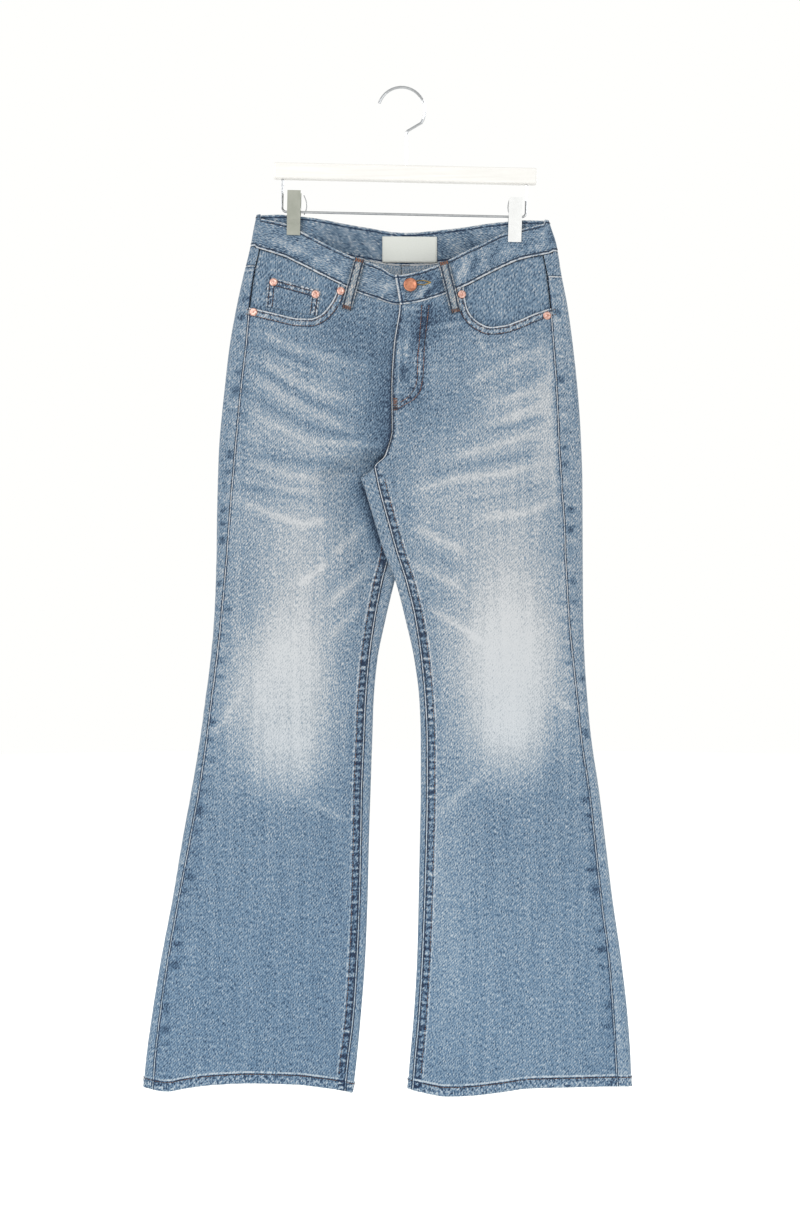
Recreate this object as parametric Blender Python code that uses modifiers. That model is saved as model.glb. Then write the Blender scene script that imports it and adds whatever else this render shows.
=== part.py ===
# Bootcut jeans hanging from a clip hanger.
# Sizes are in millimetres and are turned into metres when a mesh is made.
# +X is the picture's right and the wearer's left, the front of the jeans faces -Y, +Z is up.
# The origin is the seat of the hook: the inner top of its curve, where a rod would carry it.

import bisect
import math

import bmesh
import bpy
from mathutils import Matrix, Vector

MM = 0.001

# Cloth and seams
CLOTH = 1.5
BAND_CLOTH = 2.6
POCKET_CLOTH = 1.0
LOOP_CLOTH = 1.6
GAP = 0.3
EDGE = 0.2
FELL_WIDTH = 11.0
FELL_RISE = 0.8
HEM_HEIGHT = 12.6
HEM_RISE = 0.7
HEM_LEVEL = -1200.0
HEM_STEP = 0.8
HEM_WAVE = (1000.0, 1150.0)
FELL_STEP = 0.7

# Where the clips pinch the two sides of the waistband together
CLIP_X = (-129.6, 136.8)
PINCH_DEPTH = 3.1
PINCH_FLAT = 13.0
PINCH_REACH = 62.0
PINCH_LEVELS = (-250.0, -192.0)

# Where the left leg's inner fold lies over the right one
FOLD_LEVEL = -469.0
FOLD_START = -455.0
OVERLAP_START = (-440.0, -464.0)
OVERLAP_END = (-605.0, -665.0)
OVERLAP_REACH = 60.0
OVERLAP_MARGIN = 6.0
LEFT_REAR = -5.9
RIGHT_FRONT = -3.9
CROTCH_LIFT = 11.6
RIGHT_LEAD = 10.0
LIFT_FADE = 60.0

RIGHT = -1
LEFT = 1

# Hanger, in its own upright frame, which then leans clockwise
HANGER_LEAN = math.radians(1.28)
BAR_CENTRE = (6.8, 0.0, -102.8)
BAR_SIZE = (317.0, 12.0, 20.0)
BAR_EDGE = 2.4
RAIL_ENDS = (-140.8, 153.4)
RAIL_LEVEL = -151.6
RAIL_WIRE = 3.0
RAIL_CORNER = 5.0
CLIP_PLACES = {"clip_right": (-126.2, -127.2), "clip_left": (140.3, -129.7)}
CLIP_WIDTH = 16.0
CLIP_HEIGHT = 53.0
CLIP_PLATE = 1.3
# Half the clip's opening: at the top, at its waist, inside the bridge's ends, and in the bridge's valley
CLIP_MOUTH = {"top": 8.4, "waist": 6.6, "bridge": 5.4, "valley": 7.0}
CLIP_BEND = 12.0
CLIP_NECK = 9.0
CLIP_VALLEY = 3.0
CLIP_JAW = 0.1
HOOK_WIRE = 3.4
HOOK_RADIUS = 28.2
HOOK_ANGLES = (162.0, -32.0)
NECK_CENTRE = (14.3, -56.2)
NECK_RADIUS = 8.5
NECK_ANGLES = (143.0, 180.0)
NECK_LEVEL = -72.0
STEM_X = 5.8


def smooth(t):
    """An even rise from 0 to 1, level at both ends."""
    t = min(max(t, 0.0), 1.0)
    return t * t * (3.0 - 2.0 * t)


def ramp(value, start, stop):
    return smooth((value - start) / (stop - start))


def mix(a, b, t):
    return a + (b - a) * t


class Table:
    """Rows under named columns, read between the rows along a smooth curve that never overshoots."""

    def __init__(self, columns, rows):
        rows = sorted(rows)
        self.knots = [row[0] for row in rows]
        self.columns = {}
        for index, name in enumerate(columns.split()):
            values = [row[index] for row in rows]
            self.columns[name] = (values, self.slopes(values))

    def slopes(self, values):
        knots = self.knots
        steps = [(values[i + 1] - values[i]) / (knots[i + 1] - knots[i]) for i in range(len(knots) - 1)]
        inner = []
        for before, after in zip(steps, steps[1:]):
            level = before * after <= 0.0
            inner.append(0.0 if level else 2.0 * before * after / (before + after))
        return [steps[0]] + inner + [steps[-1]]

    def read(self, name, at):
        values, slopes = self.columns[name]
        knots = self.knots
        at = min(max(at, knots[0]), knots[-1])
        low = max(min(bisect.bisect_right(knots, at), len(knots) - 1) - 1, 0)
        step = knots[low + 1] - knots[low]
        t = (at - knots[low]) / step
        rise = values[low + 1] - values[low]
        start, stop = slopes[low] * step, slopes[low + 1] * step
        return values[low] + t * (start + t * (3 * rise - 2 * start - stop + t * (start + stop - 2 * rise)))


# One row for each level down a half of the jeans.
# outer: the side fold. outseam: the side seam, on the front. seam: the front panel's inner edge,
# down the rise and then the inseam. end: the back seam, and below the crotch the inner fold.
# front, back: how far the cloth stands before and behind the hanger's plane at that end.
HALF_COLUMNS = "z outer outseam seam end front back"
HALVES = {
    RIGHT: Table(HALF_COLUMNS, (
        (-150, -174.5, -166.5, 0.0, 0.0, 12.0, 14.0),
        (-192, -182.5, -171.0, -0.5, 0.0, 13.5, 18.0),
        (-225, -190.5, -177.8, -1.5, 0.0, 15.0, 22.0),
        (-264, -199.0, -183.2, -2.5, 0.0, 17.0, 26.0),
        (-312, -207.5, -187.5, -9.5, -1.0, 17.5, 27.0),
        (-364, -213.5, -193.5, -12.5, -2.0, 16.0, 23.0),
        (-413, -218.5, -198.0, -12.0, -4.0, 14.0, 15.0),
        (-436, -220.2, -200.3, -17.5, -8.0, 13.2, 11.0),
        (-445, -220.6, -201.0, -21.0, -12.0, 12.0, 9.8),
        (-457, -221.0, -202.0, -32.3, -9.0, 6.0, 7.8),
        (-469, -221.4, -203.0, -24.5, -1.0, 4.2, 6.0),
        (-483, -221.8, -204.5, -18.0, 6.5, 4.2, 4.8),
        (-500, -222.2, -205.7, -14.5, 9.0, 4.2, 4.6),
        (-525, -222.7, -207.7, -12.5, 8.0, 4.2, 4.6),
        (-557, -223.0, -210.0, -14.5, 1.8, 4.2, 4.6),
        (-596, -224.0, -213.5, -23.5, -8.5, 4.2, 4.6),
        (-640, -226.0, -217.5, -32.0, -19.0, 4.4, 4.6),
        (-690, -230.5, -223.0, -39.0, -29.0, 4.6, 4.6),
        (-740, -237.0, -229.5, -43.0, -33.5, 4.6, 4.6),
        (-785, -243.0, -235.0, -45.0, -35.0, 4.6, 4.6),
        (-845, -253.0, -244.0, -47.5, -37.0, 4.6, 4.6),
        (-905, -264.0, -255.0, -48.5, -39.0, 4.6, 4.6),
        (-974, -275.5, -268.0, -50.0, -40.5, 4.6, 4.6),
        (-1050, -290.0, -281.5, -53.0, -43.5, 4.8, 4.8),
        (-1121, -301.5, -291.5, -58.0, -49.0, 5.0, 5.0),
        (-1174, -308.5, -297.5, -64.5, -54.0, 5.0, 5.0),
        (-1215, -312.0, -300.0, -68.5, -59.0, 5.0, 5.0),
    )),
    LEFT: Table(HALF_COLUMNS, (
        (-150, 175.0, 167.0, 0.0, 0.0, 12.0, 14.0),
        (-192, 187.5, 169.5, -0.5, 0.0, 13.5, 18.0),
        (-225, 193.0, 175.5, -1.5, 0.0, 15.0, 22.0),
        (-264, 200.5, 179.8, -2.5, 0.0, 17.0, 26.0),
        (-312, 207.0, 183.5, -9.5, -1.0, 17.5, 27.0),
        (-364, 212.5, 187.0, -12.5, -2.0, 16.0, 23.0),
        (-413, 216.0, 189.2, -12.0, -4.0, 14.0, 15.0),
        (-436, 217.0, 190.0, -17.5, -8.0, 13.2, 11.0),
        (-445, 217.4, 190.6, -21.0, -12.0, 13.4, 7.0),
        (-457, 217.8, 191.5, -32.3, -26.0, 13.8, 1.5),
        (-469, 218.2, 192.5, -30.0, -49.0, 14.5, -5.9),
        (-483, 218.3, 193.2, -27.0, -44.5, 14.5, -5.9),
        (-500, 218.4, 194.5, -22.5, -39.5, 14.5, -5.9),
        (-525, 218.5, 196.2, -15.5, -32.0, 14.5, -5.9),
        (-557, 218.6, 197.2, -6.5, -22.0, 14.5, -5.9),
        (-596, 218.8, 199.3, 6.0, -7.0, 14.5, -5.9),
        (-640, 219.2, 202.0, 16.5, 4.5, 10.0, -1.5),
        (-690, 221.0, 207.0, 24.0, 15.5, 6.0, 3.2),
        (-740, 224.5, 212.5, 28.5, 21.5, 4.6, 4.6),
        (-785, 229.0, 217.0, 30.4, 23.0, 4.6, 4.6),
        (-845, 238.0, 226.0, 30.5, 23.0, 4.6, 4.6),
        (-905, 245.5, 233.0, 29.5, 22.0, 4.6, 4.6),
        (-974, 254.0, 240.5, 27.5, 20.5, 4.6, 4.6),
        (-1050, 265.0, 250.0, 24.5, 18.5, 4.6, 4.6),
        (-1121, 273.0, 255.5, 20.2, 14.3, 4.6, 4.6),
        (-1174, 276.5, 258.5, 15.4, 9.6, 4.6, 4.6),
        (-1215, 277.5, 260.5, 12.5, 6.5, 4.6, 4.6),
    )),
}

# fold: the side fold's radius. front, back: how much further the cloth swells half way across.
SWELL = Table("z fold front back", (
    (-150, 5.0, 0.0, 0.0),
    (-192, 5.5, 1.0, 2.0),
    (-225, 6.0, 2.0, 3.0),
    (-264, 6.5, 3.0, 5.0),
    (-312, 7.0, 6.0, 8.0),
    (-364, 7.0, 10.0, 12.0),
    (-413, 7.0, 14.0, 17.0),
    (-470, 7.0, 16.0, 20.0),
    (-560, 7.0, 16.0, 20.0),
    (-650, 7.0, 15.0, 17.0),
    (-740, 7.0, 13.0, 14.0),
    (-850, 7.0, 13.0, 14.0),
    (-960, 7.0, 15.0, 16.0),
    (-1090, 8.0, 17.0, 18.0),
    (-1215, 8.0, 19.0, 20.0),
))

# The waistband's upper and lower edges across the front and across the back
FRONT_BAND = Table("x top bottom", (
    (-182, -155.0, -190.8),
    (-158, -159.7, -197.5),
    (-141, -163.0, -203.0),
    (-117.5, -174.5, -214.5),
    (-95.5, -186.5, -226.5),
    (-72.5, -199.0, -238.5),
    (-54.5, -207.0, -248.0),
    (-29, -215.5, -256.5),
    (-4.5, -227.5, -263.0),
    (17, -224.0, -260.5),
    (40, -216.5, -254.5),
    (54.5, -210.0, -249.5),
    (78, -198.0, -239.5),
    (101.5, -186.0, -226.5),
    (124, -175.0, -214.5),
    (146, -169.5, -205.5),
    (187, -160.5, -198.0),
))
BACK_BAND = Table("x top bottom", (
    (-182, -153.0, -190.5),
    (-152, -151.9, -190.0),
    (-122, -154.2, -192.7),
    (-86, -158.3, -196.8),
    (-50, -163.8, -202.6),
    (4, -171.2, -210.2),
    (58, -166.9, -205.6),
    (94, -163.2, -202.0),
    (124, -160.8, -199.5),
    (147, -158.8, -197.0),
    (187, -159.2, -197.0),
))

# The curved mouth of each front pocket, from the waistband to the side seam
SCOOPS = {
    RIGHT: Table("x z", (
        (-186, -264.5), (-161.5, -270.5), (-142, -275.5), (-124, -279.5), (-108.5, -280.0),
        (-97, -275.5), (-88, -266.5), (-82, -257.5), (-78, -248.5), (-75.5, -238.5))),
    LEFT: Table("x z", (
        (186, -264.0), (159, -273.5), (140, -282.0), (123, -288.0), (106, -290.0),
        (93, -285.0), (83.5, -276.5), (77.5, -264.5), (75.5, -253.0), (74.5, -242.0))),
}
YOKE_SIDE = {RIGHT: -214.0, LEFT: -227.0}
YOKE_CENTRE = -281.0

# The lower edge of each hem
HEMS = {
    RIGHT: Table("x z", (
        (-311, -1202.5), (-284, -1206.5), (-256, -1201.0), (-227, -1196.5), (-184, -1194.0),
        (-127, -1196.5), (-98, -1201.0), (-69, -1207.0), (-60, -1210.0))),
    LEFT: Table("x z", (
        (7, -1205.0), (22, -1208.0), (50, -1212.0), (82, -1210.0), (118, -1205.0),
        (154, -1200.0), (190, -1199.5), (238, -1200.0), (277, -1202.0))),
}

LEG_LEVELS = (-425, -441, -450, -457, -463, -470, -482, -500, -525, -555, -590, -630, -675, -725,
              -780, -840, -905, -975, -1045, -1115, -1160)
HEM_LEVELS = (HEM_LEVEL + HEM_HEIGHT + HEM_STEP, HEM_LEVEL + HEM_HEIGHT, HEM_LEVEL)


def inward(side):
    """The direction along X from a side fold towards the middle."""
    return -side


def half(side, name, z):
    return HALVES[side].read(name, z)


def overlap(z):
    """1 where the inner folds of the legs lie over each other, 0 well above and below."""
    return ramp(z, *OVERLAP_START) * (1.0 - ramp(z, *OVERLAP_END))


def pinch(x, z):
    """1 between the jaws of a clip, fading to 0 around it."""
    nearest = min(abs(x - centre) for centre in CLIP_X)
    return (1.0 - ramp(nearest, PINCH_FLAT, PINCH_REACH)) * ramp(z, *PINCH_LEVELS)


def turn_radius(side, z):
    return 0.5 * (half(side, "front", z) + half(side, "back", z))


def across(side, x, z):
    """How far x lies from the side fold's straight start, 0, to the end of the half, 1."""
    fold = SWELL.read("fold", z)
    end_turn = turn_radius(side, z) * ramp(z, FOLD_START, FOLD_LEVEL)
    span = abs(half(side, "end", z) - half(side, "outer", z)) - fold - end_turn
    return min(max((abs(x - half(side, "outer", z)) - fold) / span, 0.0), 1.0)


def depth(side, x, z, sheet):
    """How far the front or back sheet stands from the hanger's plane."""
    u = across(side, x, z)
    rise = math.sin(0.5 * math.pi * u)
    end = half(side, sheet, z)
    value = mix(SWELL.read("fold", z), end, rise) + SWELL.read(sheet, z) * 4.0 * u * (1.0 - u)
    return mix(value, PINCH_DEPTH, pinch(x, z))


def front_y(side, x, z):
    y = -depth(side, x, z, "front")
    if side == RIGHT:
        away = (half(LEFT, "end", z) - OVERLAP_MARGIN) - x
        y = mix(y, RIGHT_FRONT, overlap(z - RIGHT_LEAD) * (1.0 - smooth(away / OVERLAP_REACH)))
    return y


def back_y(side, x, z):
    y = depth(side, x, z, "back")
    if side == LEFT:
        away = x - (half(RIGHT, "end", z) + OVERLAP_MARGIN)
        y = mix(y, LEFT_REAR, overlap(z) * (1.0 - smooth(away / OVERLAP_REACH)))
    return y


def on_front(side, x, z):
    """A point of the front sheet and the direction out of the cloth there."""
    slope = front_y(side, x + 0.5, z) - front_y(side, x - 0.5, z)
    return Vector((x, front_y(side, x, z), z)), Vector((slope, -1.0, 0.0)).normalized()


def on_back(side, x, z):
    slope = back_y(side, x + 0.5, z) - back_y(side, x - 0.5, z)
    return Vector((x, back_y(side, x, z), z)), Vector((-slope, 1.0, 0.0)).normalized()


def round_fold(centre_x, centre_y, radius, out, angle, z):
    """A point round a fold: angle runs from -90 at the front to 90 at the back."""
    direction = Vector((out * math.cos(math.radians(angle)), math.sin(math.radians(angle)), 0.0))
    return Vector((centre_x, centre_y, z)) + direction * radius, direction


def station(side, kind, t, z, seam_z=None):
    """A point of a half's section and its outward direction.

    front: side seam to front seam. strip: side seam to the side fold. cap: round the side fold.
    back: side fold to the end. turn: round the inner fold. flap: inner fold to the inseam.
    """
    into = inward(side)
    fold = SWELL.read("fold", z)
    cap_x = half(side, "outer", z) + into * fold
    end_x = half(side, "end", z)
    radius = turn_radius(side, z)
    if kind == "front":
        start = half(side, "outseam", z) + into * EDGE
        stop = half(side, "seam", z) - into * EDGE
        return on_front(side, mix(start, stop, t), z)
    if kind == "strip":
        return on_front(side, mix(half(side, "outseam", z) - into * EDGE, cap_x, t), z)
    if kind == "cap":
        return round_fold(cap_x, 0.0, fold, -into, mix(-90.0, 90.0, t), z)
    if kind == "back":
        if z <= FOLD_LEVEL:
            end_x = end_x - into * radius
        else:
            end_x = end_x - into * EDGE
        return on_back(side, mix(cap_x, end_x, t), z)
    centre_x = end_x - into * radius
    centre_y = 0.5 * (half(side, "back", z) - half(side, "front", z))
    if kind == "turn":
        return round_fold(centre_x, centre_y, radius, into, mix(90.0, -90.0, t), z)
    at = z if seam_z is None else mix(z, seam_z, t)
    seam_x = half(side, "seam", at) + into * EDGE
    return on_front(side, mix(centre_x, seam_x, t), at)


def hem_drop(side, kind, t, level):
    """How far the hem's wave moves a level of the leg down at this station."""
    x = station(side, kind, t, HEM_LEVEL)[0].x
    return (HEMS[side].read("z", x) - HEM_LEVEL) * ramp(-level, *HEM_WAVE)


def material(name, colour, roughness, metallic=0.0):
    finish = bpy.data.materials.new(name)
    finish.use_nodes = True
    shader = finish.node_tree.nodes["Principled BSDF"]
    shader.inputs["Base Color"].default_value = (*colour, 1.0)
    shader.inputs["Roughness"].default_value = roughness
    shader.inputs["Metallic"].default_value = metallic
    finish.diffuse_color = (*colour, 1.0)
    return finish


def add_object(name, data, finish, parent=None):
    piece = bpy.data.objects.new(name, data)
    piece.data.materials.append(finish)
    PARTS.objects.link(piece)
    piece.parent = parent
    return piece


def wall(name, outer, inner, finish):
    """A closed wall between two sheets of points that share one grid. A missing point is None."""
    mesh = bmesh.new()
    sheets = []
    for sheet in (outer, inner):
        sheets.append([[None if p is None else mesh.verts.new(p * MM) for p in row] for row in sheet])
    loops = []
    for r in range(len(outer) - 1):
        for c in range(len(outer[r]) - 1):
            cell = ((r, c), (r + 1, c), (r + 1, c + 1), (r, c + 1))
            loops.append([place for place in cell if outer[place[0]][place[1]] is not None])
    loops = [loop for loop in loops if len(loop) == 4]
    edges = {}
    for loop in loops:
        mesh.faces.new([sheets[0][r][c] for r, c in loop])
        mesh.faces.new([sheets[1][r][c] for r, c in reversed(loop)])
        for a, b in zip(loop, loop[1:] + loop[:1]):
            edges[(a, b)] = (b, a) not in edges
            if not edges[(a, b)]:
                edges[(b, a)] = False
    for (a, b), is_border in edges.items():
        if is_border:
            mesh.faces.new([sheets[0][b[0]][b[1]], sheets[0][a[0]][a[1]],
                            sheets[1][a[0]][a[1]], sheets[1][b[0]][b[1]]])
    loose = [vertex for vertex in mesh.verts if not vertex.link_faces]
    bmesh.ops.delete(mesh, geom=loose, context="VERTS")
    bmesh.ops.recalc_face_normals(mesh, faces=mesh.faces)
    data = bpy.data.meshes.new(name)
    mesh.to_mesh(data)
    mesh.free()
    data.shade_smooth()
    data.set_sharp_from_angle(angle=math.radians(50))
    return add_object(name, data, finish)


def cloth(name, rows, thickness, finish, rise=None, inner_rise=None):
    """A wall from rows of surface points: the outer sheet raised, the inner one a thickness below."""
    outer = []
    inner = []
    for r, row in enumerate(rows):
        outer.append([])
        inner.append([])
        for c, spot in enumerate(row):
            if spot is None:
                outer[-1].append(None)
                inner[-1].append(None)
                continue
            point, direction = spot
            lift = rise(r, c) if rise else 0.0
            sink = inner_rise(r, c) if inner_rise else 0.0
            outer[-1].append(point + direction * lift)
            inner[-1].append(point - direction * (thickness + sink))
    return wall(name, outer, inner, finish)


FRONT_TOP_LEVEL = -262.0
FRONT_UPPER_LEVELS = (-312.0, -340.0, -370.0, -400.0)
FRONT_UPPER_PARTS = (0.0, 0.25, 0.55)
SEARCH_STEPS = 6
FRONT_SHARES = (0.0, 0.11, 0.225, 0.325, 0.41, 0.475, 0.525, 0.557, 0.58, 0.597, 0.69, 0.79, 0.88)


def front_columns(side, z):
    """Shares of the way across a front panel, the last ones fixed by the felled seam's width."""
    width = abs(half(side, "seam", z) - half(side, "outseam", z)) - 2.0 * EDGE
    return FRONT_SHARES + (1.0 - (FELL_WIDTH + FELL_STEP) / width, 1.0 - FELL_WIDTH / width, 1.0)


def front_top(side, share):
    """The upper edge of a front panel: the pocket mouth, then the waistband's seam."""
    z = FRONT_TOP_LEVEL
    for _ in range(SEARCH_STEPS):
        x = station(side, "front", share, z)[0].x
        mouth = SCOOPS[side].knots
        if mouth[0] <= x <= mouth[-1]:
            z = SCOOPS[side].read("z", x)
        else:
            z = FRONT_BAND.read("bottom", x) - GAP
    return z


def front_panel(side, name, finish):
    shares = len(front_columns(side, HEM_LEVEL))
    rows = []
    tops = [front_top(side, front_columns(side, FRONT_TOP_LEVEL)[c]) for c in range(shares)]
    for part in FRONT_UPPER_PARTS:
        rows.append([(mix(tops[c], FRONT_UPPER_LEVELS[0], part), c) for c in range(shares)])
    for level in FRONT_UPPER_LEVELS + LEG_LEVELS + HEM_LEVELS:
        row = []
        for c in range(shares):
            drop = hem_drop(side, "front", front_columns(side, HEM_LEVEL)[c], level)
            row.append((level + drop, c))
        rows.append(row)
    spots = [[station(side, "front", front_columns(side, z)[c], z) for z, c in row] for row in rows]
    last = len(spots) - 1

    def rise(r, c):
        return max(FELL_RISE if c >= shares - 2 else 0.0, HEM_RISE if r >= last - 1 else 0.0)

    def sink(r, c):
        return HEM_RISE if r >= last - 1 else 0.0

    return cloth(name, spots, CLOTH, finish, rise, sink)


BACK_STATIONS = (
    [("strip", 0.0), ("strip", 0.5), ("cap", 0.0), ("cap", 0.25), ("cap", 0.5), ("cap", 0.75),
     ("back", 0.0), ("back", 0.05), ("back", 0.12), ("back", 0.2), ("back", 0.31), ("back", 0.42),
     ("back", 0.54), ("back", 0.66), ("back", 0.78), ("back", 0.89), ("back", 1.0),
     ("turn", 0.25), ("turn", 0.5), ("turn", 0.75), ("flap", 0.0), ("flap", 0.5), ("flap", 1.0)])


def back_panel(side, name, finish):
    """From the side seam round the side fold and the back to the seat seam, and below the crotch
    on round the inner fold to the inseam."""
    rows = []
    for part in (0.0, 0.12, 0.24, 0.38, 0.55, 0.77):
        row = []
        for kind, t in BACK_STATIONS:
            if kind in ("turn", "flap"):
                row.append(None)
                continue
            top = mix(YOKE_SIDE[side], YOKE_CENTRE, t if kind == "back" else 0.0) - 0.5 * GAP
            row.append(station(side, kind, t, mix(top, LEG_LEVELS[0], part)))
        rows.append(row)
    for level in LEG_LEVELS + HEM_LEVELS:
        row = []
        lift = CROTCH_LIFT * (1.0 - smooth((FOLD_LEVEL - level) / LIFT_FADE)) if side == LEFT else 0.0
        for kind, t in BACK_STATIONS:
            if kind in ("turn", "flap") and level > FOLD_LEVEL:
                row.append(None)
                continue
            z = level + hem_drop(side, kind, t, level)
            row.append(station(side, kind, t, z, z + lift))
        rows.append(row)
    last = len(rows) - 1

    def hem(r, c):
        return HEM_RISE if r >= last - 1 else 0.0

    return cloth(name, rows, CLOTH, finish, hem, hem)


def yoke(side, name, finish):
    rows = []
    for part in (0.0, 0.5, 1.0):
        row = []
        for kind, t in BACK_STATIONS:
            if kind in ("turn", "flap"):
                continue
            top = band_spot(side, kind, t, 0.0)[0].z - GAP
            low = mix(YOKE_SIDE[side], YOKE_CENTRE, t if kind == "back" else 0.0) + 0.5 * GAP
            row.append(station(side, kind, t, mix(top, low, part)))
        rows.append(row)
    return cloth(name, rows, CLOTH, finish)


BAND_STEPS = (0.0, 0.34, 0.67, 1.0)
BAND_LEVEL = -200.0
LAP_END = {0.0: -1.8, 1.0: -8.0}
UNDERLAP = (8.0, 19.0, 30.0)
BAND_SEAT = 0.5
UNDERLAP_SINK = BAND_CLOTH + BAND_SEAT
UNDERLAP_START = (-52.0, -16.0)


def band_sink(x):
    """How far the right end of the waistband passes behind the left end."""
    return UNDERLAP_SINK * ramp(x, *UNDERLAP_START)


def band_spot(side, kind, share, height):
    """A point of the waistband above the station of the panel or yoke that is sewn to it."""
    edges = FRONT_BAND if kind in ("front", "strip") else BACK_BAND
    z = BAND_LEVEL
    for _ in range(SEARCH_STEPS):
        x = station(side, kind, share, z)[0].x
        z = mix(edges.read("bottom", x), edges.read("top", x), height)
    return station(side, kind, share, z)


def waistband(finish):
    """One strip, from the left front end round the back to the right front end."""
    shares = front_columns(LEFT, PINCH_LEVELS[0])
    ring = [("strip", 0.5)] + [(kind, t) for kind, t in BACK_STATIONS if kind in ("cap", "back")]
    rows = []
    for height in BAND_STEPS:
        end_x = mix(LAP_END[0.0], LAP_END[1.0], height)
        end_z = mix(FRONT_BAND.read("bottom", end_x), FRONT_BAND.read("top", end_x), height)
        row = [on_front(LEFT, end_x, end_z)]
        row += [band_spot(LEFT, "front", share, height) for share in reversed(shares[:-1])]
        row += [band_spot(LEFT, kind, t, height) for kind, t in ring]
        row += [band_spot(RIGHT, kind, t, height) for kind, t in reversed(ring[:-1])]
        right = [band_spot(RIGHT, "front", share, height) for share in shares]
        for x in UNDERLAP:
            z = mix(FRONT_BAND.read("bottom", x), FRONT_BAND.read("top", x), height)
            right.append(on_front(RIGHT, x, z))
        row += [(point - out * band_sink(point.x), out) for point, out in right]
        rows.append(row)
    return cloth("waistband", rows, BAND_CLOTH, finish)


FACING_SINK = CLOTH + GAP
FACING_CLOTH = 1.2
FACING_REACH = 14.0


def pocket_facing(side, name, finish):
    """The cloth seen inside the pocket mouth: it reaches below the mouth, behind the front panel."""
    shares = (0.004, 0.11, 0.225, 0.325, 0.41, 0.475, 0.525, 0.58, 0.69)
    rows = []
    for part in (0.0, 0.33, 0.67, 1.0):
        row = []
        for share in shares:
            x, _, top = band_spot(side, "front", share, 0.0)[0]
            low = SCOOPS[side].read("z", x) - FACING_REACH
            point, out = station(side, "front", share, mix(top - GAP, low, part))
            row.append((point - out * FACING_SINK, out))
        rows.append(row)
    return cloth(name, rows, FACING_CLOTH, finish)


COIN_CORNERS = ((-160.3, -227.6), (-97.1, -246.6), (-163.3, -264.7), (-101.5, -276.4))


def coin_pocket(finish):
    """The small pocket on the right pocket's facing, cut off by the pocket mouth."""
    top_left, top_right, low_left, low_right = COIN_CORNERS
    rows = []
    for part in (0.0, 0.33, 0.67, 1.0):
        row = []
        for t in (0.0, 0.2, 0.4, 0.6, 0.8, 1.0):
            x = mix(mix(top_left[0], top_right[0], t), mix(low_left[0], low_right[0], t), part)
            low = mix(low_left[1], low_right[1], t)
            mouth = SCOOPS[RIGHT].read("z", mix(low_left[0], low_right[0], t)) + 2.0 * GAP
            z = mix(mix(top_left[1], top_right[1], t), max(low, mouth), part)
            point, out = on_front(RIGHT, x, z)
            row.append((point - out * (FACING_SINK - GAP - POCKET_CLOTH), out))
        rows.append(row)
    return cloth("coin_pocket", rows, POCKET_CLOTH, finish)


BACK_POCKET = {"outer_top": (165.0, -260.5), "inner_top": (40.0, -272.5),
               "outer_low": (160.0, -374.5), "inner_low": (47.5, -383.0), "point_drop": 32.0}

POCKET_SEAT = 0.45


def back_pocket(side, name, finish):
    """A five-sided patch on the seat, its lower edge a shallow point."""
    shape = BACK_POCKET
    rows = []
    for part in (0.0, 0.18, 0.36, 0.54, 0.72, 0.88, 1.0):
        row = []
        for t in (0.0, 0.17, 0.33, 0.5, 0.67, 0.83, 1.0):
            outer_x = mix(shape["outer_top"][0], shape["outer_low"][0], part)
            inner_x = mix(shape["inner_top"][0], shape["inner_low"][0], part)
            outer_z = mix(shape["outer_top"][1], shape["outer_low"][1], part)
            inner_z = mix(shape["inner_top"][1], shape["inner_low"][1], part)
            point_drop = shape["point_drop"] * (1.0 - abs(2.0 * t - 1.0)) * part ** 2
            x = side * mix(outer_x, inner_x, t)
            point, out = on_back(side, x, mix(outer_z, inner_z, t) - point_drop)
            row.append((point + out * (POCKET_SEAT + CLOTH), out))
        rows.append(row)
    return cloth(name, rows, CLOTH, finish)


LOOP_WIDTH = 12.6
LOOP_BOW = 2.2
LOOP_SEAT = 0.6
LOOP_ENDS = {
    "belt_loop_front_right": (on_front, RIGHT, (-49.8, -207.6), (-66.1, -269.2)),
    "belt_loop_front_left": (on_front, LEFT, (50.0, -211.0), (65.0, -273.0)),
    "belt_loop_back_right": (on_back, RIGHT, (-90.0, -160.6), (-86.0, -222.5)),
    "belt_loop_back_left": (on_back, LEFT, (92.0, -166.0), (88.0, -228.0)),
    "belt_loop_back_middle": (on_back, LEFT, (4.0, -174.0), (4.0, -236.0)),
}


def belt_loop(name, finish):
    """A narrow strip tacked at both ends and bowed a little off the waistband between them."""
    surface, side, top, low = LOOP_ENDS[name]
    along = Vector((low[0] - top[0], low[1] - top[1])).normalized()
    rows = []
    for step in range(9):
        part = step / 8.0
        row = []
        for share in (-0.5, 0.0, 0.5):
            x = mix(top[0], low[0], part) - along.y * share * LOOP_WIDTH
            z = mix(top[1], low[1], part) + along.x * share * LOOP_WIDTH
            point, out = surface(side, x, z)
            bow = LOOP_BOW * math.sin(math.pi * part)
            row.append((point + out * (LOOP_SEAT + bow + LOOP_CLOTH), out))
        rows.append(row)
    return cloth(name, rows, LOOP_CLOTH, finish)


LABEL = {"x": (-23.2, 43.2), "top": (-176.0, -176.4), "height": 31.0, "cloth": 1.0}


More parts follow.
